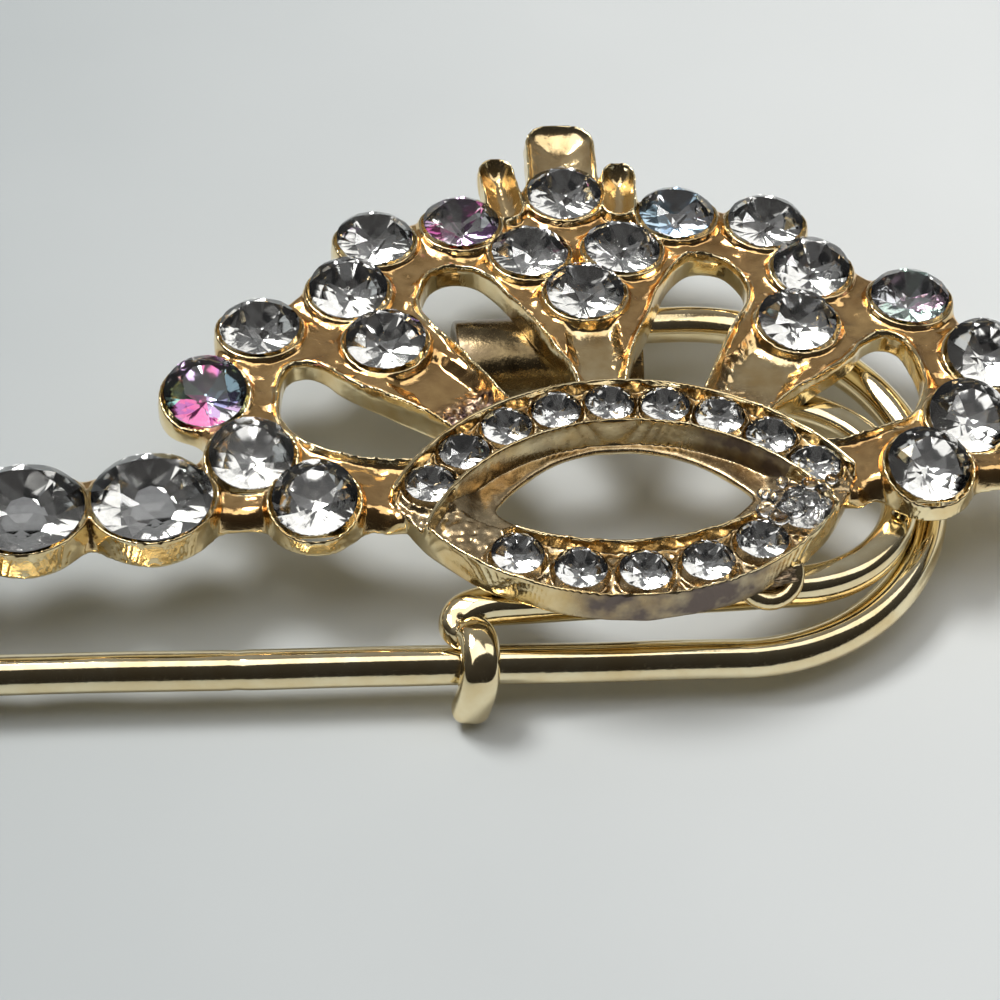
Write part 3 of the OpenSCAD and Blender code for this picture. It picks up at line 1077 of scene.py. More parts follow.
    def plan(self, x: Array, y: Array) -> dict[str, Array]:
        """Distances over the plan, below 0 inside.

        Args:
            x: plan X.
            y: plan Y.

        Returns:
            crown for the silhouette, holes for the openings, band for the eye shape, and the band's four
            edges by their names in the layout.
        """
        crown = self.polygon(x, y, self.outline())
        for a, b, w in self.ribs():
            crown = smooth_min(crown, self.strip(x, y, a, b, w), 0.5)
        for seat, r in self.around(self.layout.cups + self.layout.row, x, y):
            crown = smooth_min(crown, r - (seat.diameter / 2 + self.cup_wall), 0.35)
        for leaf in self.leaves():
            crown = smooth_min(crown, self.leaf_distance(x, y, leaf), 0.25)
        holes = np.full(x.shape, 9.0)
        for shares in (self.side_opening, self.brow_opening):
            for s in (-1, 1):
                corners = np.array(shares) * (s * self.layout.half_w, self.layout.height)
                ring = curve_through(np.concatenate([corners[-1:], corners, corners[:2]]), 5)[5:-6]
                holes = np.minimum(holes, self.polygon(x, y, [tuple(q) for q in ring]) - self.opening_r)
        circles = self.layout.circles
        edges = {key: np.hypot(x, y - middle) - radius for key, (middle, radius) in circles.items()}
        return {"crown": crown, "holes": holes, "band": np.maximum(edges["up"], edges["down"]), **edges}

    def cups_over(self, x: Array, y: Array, height: Array, web: Array) -> tuple[Array, Array]:
        """Raises the cups out of the web: a thin rim, a short wall and a long hollow foot.

        Args:
            x: plan X.
            y: plan Y.
            height: height of the web.
            web: web mask.

        Returns:
            The height with the cups on it, and the mask without their rims.
        """
        base = height.copy()
        for seat, r in self.around(self.layout.cups + self.layout.row, x, y):
            outer = seat.diameter / 2 + self.cup_wall - 0.06
            rim = GIRDLE_Z - 0.10 + (y - seat.y) * seat.slope
            rim = rim - 0.30 * smoothstep(-0.1, 0.8, (y - seat.y) / outer)
            wall = smoothstep(outer + 0.10, outer - 0.04, r)
            foot = np.exp(-np.maximum(r - outer, 0.0) / 0.36)
            height = np.maximum(height, base + (rim - base) * (0.5 * wall + 0.5 * foot))
            web = web * smoothstep(outer - 0.08, outer + 0.06, r)
        return height, web

    def leaf_bowl(
        self, x: Array, y: Array, leaf: tuple[float, float, float, float, float], quick: Array
    ) -> tuple[Array, Array, Array]:
        """One of the topper's leaves: a bowl that leans back, with a thin rim.

        Args:
            x: plan X.
            y: plan Y.
            leaf: a row of leaves().
            quick: noise of a short wave.

        Returns:
            The bowl's height, the mask of its place, and what is left of the web's mask.
        """
        d = self.leaf_distance(x, y, leaf)
        rim = GIRDLE_Z + 0.06 + 0.14 * (y - leaf[1])
        hollow = np.clip(1.0 + (d + 0.12) / leaf[2], 0.0, 1.0)
        dish = rim - 0.62 * (1.0 - hollow * hollow) + 0.02 * quick
        dish += 0.09 * bump(d + 0.13, 0.09)
        here = smoothstep(0.12, -0.08, d)
        return dish, here, 1.0 - here * (0.55 + 0.45 * smoothstep(-0.4, -0.2, d))

    def channel(
        self, x: Array, y: Array, plan: dict[str, Array], quick: Array, gritty: Array
    ) -> tuple[Array, Array]:
        """The band: a channel with two thin rims on each strip, the upper strip over the lower.

        Args:
            x: plan X.
            y: plan Y.
            plan: the plan distances.
            quick: noise of a short wave.
            gritty: noise of the shortest wave.

        Returns:
            The channel's height and the mask of its rims.
        """
        upper = smoothstep(-0.05, 0.05, plan["in_up"])
        floor = blend(GIRDLE_Z - 0.55, GIRDLE_Z - 0.42, upper) + 0.03 * quick + 0.05 * gritty
        rims = np.zeros(x.shape)
        both = (("up", -1, upper), ("in_up", 1, upper), ("down", -1, 1 - upper), ("in_down", 1, 1 - upper))
        for key, outward, share in both:
            middle = np.abs(plan[key] - outward * self.rim_w / 2)
            line = smoothstep(self.rim_w / 2 + 0.05, self.rim_w / 2 - 0.09, middle)
            if key == "in_up":
                line = line * smoothstep(-3.4, -2.6, y)
                share = np.ones(x.shape)
            if key == "in_down":
                line = line * smoothstep(5.0, 4.4, np.abs(x))
            rims = np.maximum(rims, line * share)
        level = blend(GIRDLE_Z + 0.02, GIRDLE_Z + 0.16, upper) + 0.02 * quick
        channel = blend(floor, level, rims)
        for _, r in self.around(self.layout.chips, x, y):
            bead = bump(r - (CHIP_D / 2 + 0.14), 0.11) * (1.0 - rims)
            channel = channel + 0.20 * bead
        for _, r in self.around(self.layout.chips, x, y):
            hole = smoothstep(CHIP_D / 2 + 0.07, CHIP_D / 2 - 0.05, r)
            channel = blend(channel, np.minimum(channel, GIRDLE_Z - 0.95), hole * (1.0 - rims))
        tip = smoothstep(0.05, -0.05, np.maximum(plan["in_up"], plan["in_down"]))
        sunk = smoothstep(self.tip_x + 1.2, self.tip_x, np.abs(x))
        tip_floor = GIRDLE_Z - 0.50 - 0.55 * sunk + 0.03 * quick
        channel = blend(channel, tip_floor, tip * (1.0 - rims))
        return channel, rims

    def top(self, x: Array, y: Array, plan: dict[str, Array]) -> dict[str, Array]:
        """The height of the top over the plan, with masks of its webs and its pits.

        Args:
            x: plan X.
            y: plan Y.
            plan: the plan distances.

        Returns:
            height, web and pit, each over the plan.
        """
        where = np.stack([x, y], -1)
        slow = lattice_noise(where, 1.5, 3)
        quick = lattice_noise(where, 0.42, 5)
        gritty = lattice_noise(where, 0.17, 9)
        crown, holes = plan["crown"], plan["holes"]
        height = WEB_Z + 0.13 * slow + 0.055 * quick
        height -= 0.10 * smoothstep(0.15, 0.7, holes) * smoothstep(-0.2, -0.8, crown)
        pit, bare = np.zeros(x.shape), np.zeros(x.shape)
        lip = 0.20 * bump(holes - 0.15, 0.11) * (1.0 + 0.25 * slow)
        # Valleys under the cups that stand over the band: the broad ribs and the stem.
        c = self.layout.cups
        stem = ((c[18].x, c[18].y), (0.0, self.stem_foot_y), self.stem_w, self.stem_depth)
        valleys = [(*rib, self.broad_depth) for rib in self.broad_ribs()] + [stem]
        for (ax, ay), (bx, by), w, depth in valleys:
            run = math.hypot(bx - ax, by - ay)
            along = ((x - ax) * (bx - ax) + (y - ay) * (by - ay)) / run
            across = ((x - ax) * (by - ay) - (y - ay) * (bx - ax)) / run
            here = smoothstep(1.3, 2.0, along) * smoothstep(run + 0.7, run + 0.1, along)
            hollow = 1.0 - np.clip(np.abs(across) / (w / 2 - 0.15), 0.0, 1.0) ** 2
            height -= depth * here * hollow * smoothstep(run + 0.4, run - 1.6, along)
            height += 0.14 * here * bump(across - 0.35 * slow, 0.20) * smoothstep(2.0, 3.0, along)
            if bx >= 0:
                bare = np.maximum(bare, here * smoothstep(0.05, 0.45, hollow))
            if w == self.broad_w:
                foot = smoothstep(run - 2.6, run - 1.6, along) * smoothstep(0.0, 0.35, hollow)
                dark = here * foot * (1.0 if bx < 0 else 0.3)
                pit = np.maximum(pit, dark)
                lip += 0.14 * here * bump(holes - 0.17, 0.13)
        pit = np.maximum(pit, 0.9 * np.exp(-(((x - 3.6) / 0.5) ** 2 + ((y - 6.4) / 1.3) ** 2)))
        height = np.maximum(height, BACK_Z + 0.62) + lip + 0.17 * pit * gritty + 0.08 * pit * quick
        web = (1.0 - 0.7 * bare) * smoothstep(0.22, 0.42, holes)
        fall = np.clip(1.0 + crown / 0.75, 0.0, 1.0)
        height -= 0.55 * (1.0 - np.sqrt(1.0 - 0.98 * fall * fall))
        row_front = smoothstep(0.6, -1.0, y) * smoothstep(8.6, 9.8, np.abs(x))
        height -= 1.5 * row_front * smoothstep(-1.25, 0.1, crown) ** 1.6
        height, web = self.cups_over(x, y, height, web)
        for leaf in self.leaves():
            dish, here, kept = self.leaf_bowl(x, y, leaf, quick)
            height = blend(height, dish, here)
            web *= kept
            pit *= 1.0 - here
        for seat, r in self.around(self.layout.cups + self.layout.row, x, y):
            seat_r = seat.diameter / 2 + 0.05
            pocket = GIRDLE_Z - 1.15 + (y - seat.y) * seat.slope
            height = blend(height, np.minimum(height, pocket), smoothstep(seat_r + 0.04, seat_r - 0.06, r))
        channel, rims = self.channel(x, y, plan, quick, gritty)
        in_band = smoothstep(0.06, -0.06, plan["band"])
        height = blend(height, channel, in_band)
        web = blend(web, 0.3 * (1.0 - rims), in_band)
        pit = blend(pit, 0.45 * (1.0 - rims), in_band)
        return {"height": height, "web": web, "pit": pit}

    def back(self, x: Array, y: Array) -> Array:
        """The height of the back: cups reach a little lower than the webs between them.

        Args:
            x: plan X.
            y: plan Y.

        Returns:
            The height over the plan.
        """
        low = np.full(x.shape, BACK_Z + 0.16) + 0.05 * lattice_noise(np.stack([x, y], -1), 1.1, 21)
        for seat, r in self.around(self.layout.cups + self.layout.row, x, y):
            edge = seat.diameter / 2
            low = blend(low, np.full(x.shape, BACK_Z + 0.02), smoothstep(edge + 0.2, edge - 0.3, r))
        for leaf in self.leaves():
            here = smoothstep(0.3, 0.0, self.leaf_distance(x, y, leaf))
            here = here * smoothstep(18.9, 19.5, y + 2.0 * (leaf[0] != 0))
            beside = smoothstep(1.75, 2.05, np.hypot(x, y - self.layout.height))
            bowl = GIRDLE_Z - 0.75 + 0.2 * (y - leaf[1])
            low = blend(low, np.maximum(low, bowl), here * beside)
        return low

    def shade_and_tarnish(self, points: Array, normals: Array) -> Array:
        """Painted shade with some tarnish: how dark and dull the walls that face the viewer under the lower
        strip's middle and inside the upper strip are made.

        Args:
            points: points of the surface.
            normals: the surface's normals there.

        Returns:
            A share from 0 to 1 for each point.
        """
        middle, radius = self.layout.circles["down"]
        x, y = points[:, 0], points[:, 1]
        # Painted shade: only steep walls that face the viewer's side, in the strips' shade, are darkened.
        upright = smoothstep(0.75, 0.4, normals[:, 2]) * (normals[:, 1] < 0)
        near = smoothstep(0.5, 0.2, np.abs(np.hypot(x, y - middle) - radius)) * (y < 0)
        outer = near * smoothstep(-3.6, -1.8, x) * smoothstep(5.6, 4.2, x)
        middle, radius = self.layout.circles["in_up"]
        near = smoothstep(0.9, 0.5, np.abs(np.hypot(x, y - middle) - radius)) * (y > 0) * (np.abs(x) < 7.2)
        inner = near * (0.42 + 0.58 * smoothstep(1.5, 4.6, x))
        return np.maximum(outer, inner) * upright

    def build(self) -> list[bpy.types.Object]:
        """Samples the field, finds its surface and cuts it into pieces of a workable size.

        Returns:
            The casting's pieces, which share one smooth shading.
        """
        xs, ys = self.grid()
        x, y = np.meshgrid(xs, ys, indexing="ij")
        shape = self.plan(x, y)
        wide = self.layout.open_half_w / self.tip_x
        far, near = (
            np.hypot(x * wide, y - middle) - radius
            for middle, radius in (self.layout.circles["in_up"], self.layout.circles["in_down"])
        )
        opening = -smooth_min(-far, -near, 0.35) / 1.1
        wavy = 0.03 * lattice_noise(np.stack([x, y], -1), 0.9, 31)
        plan = np.minimum(np.maximum(shape["crown"], -shape["holes"]) + wavy, shape["band"] + 0.4 * wavy)
        hole = -opening - 0.5 * wavy
        maps = self.top(x, y, shape)
        low = self.back(x, y)
        zs = np.arange(BACK_Z - 0.2, GIRDLE_Z + 1.0, self.step)
        r = self.edge_r
        lean = self.wall_lean * smoothstep(GIRDLE_Z - 0.1, BACK_Z, zs)
        a = np.maximum(plan[:, :, None], hole[:, :, None] - lean[None, None, :]) + r
        b = zs[None, None, :] - maps["height"][:, :, None] + r
        c = low[:, :, None] - zs[None, None, :] + r
        outside = np.sqrt(np.maximum(a, 0) ** 2 + np.maximum(b, 0) ** 2 + np.maximum(c, 0) ** 2)
        values = outside + np.minimum(np.maximum(np.maximum(a, b), c), 0.0) - r
        points, faces = surface_of(values.astype(np.float32), np.array([xs[0], ys[0], zs[0]]), self.step)
        normals = point_normals(points, faces)
        i = np.clip(np.rint((points[:, 0] - xs[0]) / self.step).astype(int), 0, len(xs) - 1)
        j = np.clip(np.rint((points[:, 1] - ys[0]) / self.step).astype(int), 0, len(ys) - 1)
        facing = smoothstep(0.2, 0.6, normals[:, 2])
        web = maps["web"][i, j] * facing
        pit = maps["pit"][i, j] * facing
        # Painted shade with some tarnish on the walls under the strips.
        shade_and_tarnish = self.shade_and_tarnish(points, normals)
        middle = points[faces[:, 0], 0]
        for name, lo, hi in self.cuts:
            mine = faces[(middle >= lo) & (middle < hi)]
            used, renumbered = np.unique(mine, return_inverse=True)
            obj = mesh_object(
                name,
                points[used],
                renumbered.reshape(mine.shape),
                True,
                {"web": web[used], "pit": pit[used], "shade_and_tarnish": shade_and_tarnish[used]},
                normals[used],
            )
            self.pieces.append(obj)
        return self.pieces


@dataclass
class Barrel:
    """The fat tube under the crown's middle, open at its left end, its gold painted dark for the shade it
    lies in.
    """

    radius: float = (BACK_Z + 0.3) / 2
    length: float = 7.6
    middle: tuple[float, float] = (-1.6, 9.95)
    bore: float = 1.1
    depth: float = 4.0
    edge: float = 0.12

    def profile(self) -> Array:
        """The outline that is turned about the axis, with the edges of both ends broken.

        Returns:
            Rows of X and radius, from the middle of the bore's floor round to the right end's middle.
        """
        left, right = self.middle[0] - self.length / 2, self.middle[0] + self.length / 2
        e, axis, r, floor = self.edge, 0.001, self.radius, left + self.depth
        bore = [(floor, axis), (floor, self.bore - 0.05), (floor - 0.05, self.bore), (left + e, self.bore)]
        lip = [
            (left + e * 0.3, self.bore + e * 0.3),
            (left, self.bore + e),
            (left, r - e),
            (left + e * 0.3, r - e * 0.3),
        ]
        wall = [(left + e, r), (left + 2.0, r), (right - 2.0, r), (right - e, r)]
        end = [(right - e * 0.3, r - e * 0.3), (right, r - e), (right, r * 0.5), (right, axis)]
        return np.array([*bore, *lip, *wall, *end])

    def build(self) -> bpy.types.Object:
        """The profile turned: radius (1 + 0.004 sin 3a) at angle a, with painted shade in its bore and random
        dark spots.

        Returns:
            The barrel's object.
        """
        profile = self.profile()
        sides, bore_rings = 96, 5
        angle = np.linspace(0, 2 * np.pi, sides, endpoint=False)
        radius = profile[:, 1][:, None] * (1.0 + 0.004 * np.sin(3 * angle))[None, :]
        points = np.stack(
            [
                np.broadcast_to(profile[:, 0][:, None], radius.shape),
                self.middle[1] + radius * np.cos(angle),
                self.radius + radius * np.sin(angle),
            ],
            -1,
        ).reshape(-1, 3)
        # Painted shade in the bore; grime adds random dark spots.
        inside = np.repeat(np.arange(len(profile)) < bore_rings, sides).astype(float)
        grime = np.clip(0.2 + 0.8 * lattice_noise(points, 0.7, 41), 0.0, 1.0)
        marks = {"web": 0.0 * grime, "pit": 0.0 * grime, "shade_and_tarnish": np.maximum(inside, grime)}
        return mesh_object("barrel", points, closed_tube(len(profile), sides), True, marks)


@dataclass
class Staple:
    """The small smooth staple under the lower strip, with its lump of solder."""

    middle: tuple[float, float, float] = (4.75, -4.35, BACK_Z + 0.33)
    ring_r: float = 1.0
    wire_r: float = 0.33
    tilt: float = 41.0

    def build(self) -> list[bpy.types.Object]:
        """A bent wire that hangs out of the strip's wall, and a rough lump behind it.

        Returns:
            The wire's ring and the lump.
        """
        a = np.radians(np.linspace(-15, 195, 60))
        t = math.radians(180 + self.tilt)
        across, along = self.ring_r * np.cos(a), self.ring_r * np.sin(a)
        path = np.array(self.middle) + np.stack([across, along * math.cos(t), along * math.sin(t)], -1)
        side = np.tile([0.0, -math.sin(t), math.cos(t)], (60, 1))
        points, faces = sweep(path, side, np.stack([np.full(60, self.wire_r), np.full(60, 0.36)], -1), 24)
        ring = mesh_object("staple", points, faces, True)
        rings, sides = 40, 64
        ball = globe(rings, sides, 0.02)
        swell = 1.0 + 0.20 * lattice_noise(ball, 0.35, 41) + 0.12 * lattice_noise(ball, 0.16, 43)
        spot = np.array([self.middle[0] + 0.25, self.middle[1] - 0.12, self.middle[2] + 0.05])
        points = (spot + ball * swell[..., None] * np.array([0.95, 0.42, 0.38])).reshape(-1, 3)
        marks = {"web": np.full(len(points), 0.2), "pit": np.full(len(points), 0.8)}
        faces = closed_tube(rings, sides, flip=True)
        return [ring, mesh_object("solder_lump", points, faces, True, marks)]


# The wires and the cap


@dataclass
class PinWire:
    """The safety pin's wire: near arm, round bend and far arm, in one sloping plane."""

    bend_r: float = 8.6
    bend_x: float = 4.0
    bend_y: float = 2.5
    closing: float = 2.9
    start_x: float = -28.5
    end_x: float = -0.6
    nick_x: float = -14.9

    @property
    def near_y(self) -> float:
        """Y of the bend's nearest point."""
        return self.bend_y - self.bend_r

    def slope(self) -> float:
        """Rise of the pin's plane toward the topper."""
        return (TOP_WIRE_Z - NEAR_Z) / (2 * self.bend_r)

    def arm_y(self, x: float) -> float:
        """Y of the near arm's middle: a straight line that meets the bend's arc without a kink.

        Args:
            x: place along the row.

        Returns:
            The middle's Y.
        """
        a = math.radians(self.closing)
        tx, ty = self.bend_x - self.bend_r * math.sin(a), self.bend_y - self.bend_r * math.cos(a)
        return ty + (tx - x) * math.tan(a)

    def arm_z(self, x: float) -> float:
        """Height of the near arm's middle at x."""
        return NEAR_Z + (self.arm_y(x) - self.near_y) * self.slope()

    def build(self) -> bpy.types.Object:
        """A section carried along the arm, the arc and the far arm, a little uneven as bent wire is.

        Returns:
            The wire's object.
        """
        a = math.radians(self.closing)
        tx = self.bend_x - self.bend_r * math.sin(a)
        xs = np.linspace(self.start_x, tx, 130, endpoint=False)
        near = np.stack([xs, self.arm_y(0.0) - xs * math.tan(a)], -1)
        turn = np.linspace(-math.pi / 2 - a, math.pi / 2, 120, endpoint=False)
        arc = np.array([self.bend_x, self.bend_y]) + self.bend_r * np.stack([np.cos(turn), np.sin(turn)], -1)
        xs = np.linspace(self.bend_x, self.end_x, 24)
        far = np.stack([xs, np.full(24, self.bend_y + self.bend_r)], -1)
        flat = np.concatenate([near, arc, far])
        path = np.concatenate([flat, (NEAR_Z + (flat[:, 1:] - self.near_y) * self.slope())], 1)
        path[:, 2] += 0.012 * np.sin(flat[:, 0] * 0.9) * np.sin(flat[:, 1] * 0.7)
        path[:, 1] += 0.015 * np.sin(flat[:, 0] * 0.55)
        side = np.tile([0.0, 0.0, 1.0], (len(path), 1))
        path, side, radii = rounded_ends(path, side, WIRE_R - 0.005)
        nick = bump(path[:, 0] - self.nick_x, 0.22) * (path[:, 1] < 0)
        radii = radii * (1.0 - 0.045 * nick) * (1.0 + 0.004 * np.sin(np.arange(len(path)) * 0.31))
        points, faces = sweep(path, side, radii, 56, section=drawn_section(56, 62.0, 2.4))
        return mesh_object("pin", points, faces, True)


@dataclass
class KeeperWire:
    """The inner wire: a round end, a straight run, and a flattened hook that wraps the near arm."""

    rail_y: float = -4.05
    end_x: float = 6.01
    end_r: float = 5.0
    tip_half_w: float = 0.72
    hook: tuple[tuple[float, float, float, float], ...] = (
        # x, y, z and half thickness of the wire from its straight run to its tip.
        (-4.60, -4.05, 3.15, 0.75),
        (-5.60, -4.08, 3.15, 0.75),
        (-6.45, -4.30, 3.08, 0.70),
        (-6.78, -4.66, 2.90, 0.62),
        (-6.62, -4.98, 2.86, 0.58),
        (-6.30, -5.32, 3.02, 0.62),
        (-6.14, -5.80, 3.12, 0.64),
        (-6.14, -6.44, 3.00, 0.62),
        (-6.20, -6.94, 2.58, 0.58),
        (-6.30, -7.10, 1.94, 0.55),
        (-6.42, -7.06, 1.26, 0.55),
        (-6.50, -6.98, 0.76, 0.55),
    )

    def build(self) -> bpy.types.Object:
        """An oval carried along the round end, the straight run and a curve through the hook's rows.

        Returns:
            The wire's object.
        """
        a = np.linspace(math.pi / 2, -math.pi / 2, 90, endpoint=False)
        middle = self.rail_y + self.end_r
        ones = np.ones(90)
        across, away = self.end_x + self.end_r * np.cos(a), middle + self.end_r * np.sin(a)
        round_end = np.stack([across, away, TOP_WIRE_Z * ones, WIRE_R * ones], -1)
        ones = np.ones(50)
        xs = np.linspace(self.end_x, self.hook[0][0], 50, endpoint=False)
        run = np.stack([xs, self.rail_y * ones, TOP_WIRE_Z * ones, WIRE_R * ones], -1)
        hook = curve_through(np.array(self.hook), 12)
        rows = np.concatenate([round_end, run, hook])
        path = rows[:, :3]
        # The flat side faces up along the run and away from the near arm round the hook.
        turned = smoothstep(-6.3, -7.0, path[:, 1])[:, None]
        side = (1 - turned) * np.array([0.0, 0.0, 1.0]) + turned * np.array([0.0, -1.0, 0.0])
        whole, side, shrink = rounded_ends(path, side, WIRE_R * 0.8)
        steps = (len(whole) - len(path)) // 2
        rise, fall = shrink[:steps] / (WIRE_R * 0.8), shrink[-steps:] / (WIRE_R * 0.8)
        wide = np.concatenate([WIRE_R * rise, np.full(len(path), WIRE_R), self.tip_half_w * fall])
        thick = np.concatenate([WIRE_R * rise, rows[:, 3], rows[-1, 3] * fall])
        radii = np.stack([thick, wide], -1)
        points, faces = sweep(whole, side, radii, 48, section=drawn_section(48, 0.0, 2.7))
        return mesh_object("keeper", points, faces, True)


@dataclass
class ClaspCap:
    """The plain cap that takes the near arm's tip: a rounded profile drawn out along the row."""

    pin: PinWire
    x: float = -29.386
    length: float = 4.0
    back: float = 0.98
    edge: float = 0.25

    def build(self) -> bpy.types.Object:
        """Rounded outline in the Y-Z plane, carried along X and drawn in at both ends.

        At angle t of an end's quarter turn the outline is edge (1 - cos t) from the end and smaller by
        a share of edge (1 - sin t) / 1.6.

        Returns:
            The cap's object.
        """
        middle_x = self.x + self.length / 2
        y, z = self.pin.arm_y(middle_x), self.pin.arm_z(middle_x)
        shelf, back = BACK_Z - WIRE_GAP, self.back
        a = np.linspace(math.pi * 0.5, math.pi * 1.5, 40)
        nose = np.stack([y + z * np.cos(a), z + z * np.sin(a)], -1)
        e = self.edge
        foot = [(back - e, 0.0), (back, e), (back, shelf - e), (back - e, shelf)]
        ledge = [(-0.85, shelf), (-1.02, shelf - 0.3)]
        dip = [(-1.15, 1.75), (-1.6, 1.35), (-2.6, 1.3), (y + 1.15, 2.2), (y + 0.7, 2.95)]
        outline = np.concatenate([nose, np.array([*foot, *ledge, *dip])])
        middle = np.array([(y + back) / 2, 1.2])
        t = np.linspace(0, math.pi / 2, 6)
        drawn, gone = e * (1 - np.sin(t)) / 1.6, e * (1 - np.cos(t))
        inset = np.concatenate([[0.999], drawn, drawn[::-1], [0.999]])
        xs = np.concatenate([[0.0], gone, self.length - gone[::-1], [self.length]])
        ring = middle + (outline - middle)[None, :, :] * (1.0 - inset)[:, None, None]
        places = np.broadcast_to((self.x + xs)[:, None, None], (len(xs), len(outline), 1))
        points = np.concatenate([places, ring], -1).reshape(-1, 3)
        return mesh_object("clasp_cap", points, closed_tube(len(xs), len(outline)), True)


# The stones


COATS = {
    "magenta": (0.88, 0.13, 0.42),
    "azure": (0.24, 0.60, 0.98),
    "plum": (0.60, 0.38, 0.64),
    "green": (0.55, 0.85, 0.66),
    "sky": (0.55, 0.82, 0.98),
    "pale": (0.88, 0.92, 0.94),
    "pink": (0.96, 0.66, 0.84),
    "mint": (0.72, 0.95, 0.84),
    "grey": (0.88, 0.88, 0.87),
}


@dataclass
class Stone:
    """One foil-backed stone: table, eight crown facets, scalloped girdle and eight back facets."""

    seat: Seat
    turn: float
    nod: tuple[float, float]
    coat: tuple[str, ...] = ()
    table: float = 0.55
    crown: float = 0.16
    pavilion: float = 0.325

    def surface(self) -> tuple[Array, list[list[int]], list[int]]:
        """Points, faces and each face's material.

        The kites are planes through a table corner and the girdle; a star corner lies where two
        kites meet: top (1 - (r_mid cos 22.5 - r_table) / (r - r_table)). The back mirrors this
        with planes through the culet and the girdle.

        Returns:
            Points about the girdle's middle, faces, and 0 for glass or 1 for foil.
        """
        d = self.seat.diameter
        r, top, edge = d / 2, self.crown * d, 0.02 * d
        low, cut = self.pavilion * d, min(self.pavilion * d - 0.03, 1.09)
        table_r, back_r = self.table * r, 0.46 * r
        mid_r = table_r + 0.46 * (r - table_r)
        eight, turn = np.arange(8) * np.pi / 4, np.pi / 8
        many = np.arange(32) * np.pi / 16
        mid_z = top * (1 - (mid_r * math.cos(turn) - table_r) / (r - table_r))
        back_z = -low + (low - edge) * back_r * math.cos(turn) / r
        wave = 0.012 * d * (1 - np.cos(8 * many)) / 2

        def ring(radius: float, angle: Array, z: Array | float) -> Array:
            """Points round the axis."""
            level = np.broadcast_to(z, angle.shape)
            return np.stack([radius * np.cos(angle), radius * np.sin(angle), level], -1)

        points = np.concatenate(
            [
                ring(table_r, eight, top),
                ring(mid_r, eight + turn, mid_z),
                ring(r, many, -wave),
                ring(r, many, -edge - wave),
                ring(back_r, eight + turn, back_z),
                ring(back_r * (low - cut) / (low + back_z), eight + turn, -cut),
            ]
        )
        mid, upper, lower, back, culet = 8, 16, 48, 80, 88
        faces, kinds = [list(range(8))], [0]
        for k in range(8):
            nxt, prev, g = (k + 1) % 8, (k - 1) % 8, 4 * k
            at = lambda base, n: base + n % 32
            faces += [
                [k, mid + k, nxt],
                [k, mid + prev, upper + g, mid + k],
                [mid + k, upper + g, at(upper, g + 1), at(upper, g + 2)],
                [mid + k, at(upper, g + 2), at(upper, g + 3), at(upper, g + 4)],
                [culet + k, back + k, lower + g, back + prev, culet + prev],
                [back + k, at(lower, g + 2), at(lower, g + 1), lower + g],
                [back + k, at(lower, g + 4), at(lower, g + 3), at(lower, g + 2)],
            ]
            kinds += [0, 0, 0, 0, 1, 1, 1]
        for j in range(32):
            m = (j + 1) % 32
            faces.append([upper + j, lower + j, lower + m, upper + m])
            kinds.append(0)
        faces.append(list(range(culet + 7, culet - 1, -1)))
        kinds.append(1)
        return points, faces, kinds

    def build(self, glass: bpy.types.Material, foil: bpy.types.Material) -> bpy.types.Object:
        """Turns and leans the stone into its seat and dresses it.

        Args:
            glass: material of the front and the girdle.
            foil: material of the back facets.

        Returns:
            The stone's object.
        """
        points, faces, kinds = self.surface()
        forth, aside = (math.radians(angle) for angle in self.nod)
        lean = Matrix.Rotation(math.radians(self.seat.lean), 3, "X")
        nod = Matrix.Rotation(forth, 3, "X") @ Matrix.Rotation(aside, 3, "Y")
        turn = Matrix.Rotation(math.radians(self.turn), 3, "Z")
        points = points @ np.array(lean @ nod @ turn).T + np.array([self.seat.x, self.seat.y, GIRDLE_Z])
        obj = mesh_object(f"set_{self.seat.node}", points, faces, False)
        obj.data.materials.append(glass)
        obj.data.materials.append(foil)
        obj.data.polygons.foreach_set("material_index", kinds)
        if self.coat:
            layer = obj.data.attributes.new("coat", "FLOAT_COLOR", "CORNER")
            colours = np.ones((len(obj.data.loops), 4), dtype=np.float32)
            order = 0
            for polygon, kind in zip(obj.data.polygons, kinds):
                if kind:
                    stop = polygon.loop_start + polygon.loop_total
                    colours[polygon.loop_start : stop, :3] = COATS[self.coat[order // 3 % len(self.coat)]]
                    order += 1
            layer.data.foreach_set("color", colours.ravel())
        return obj


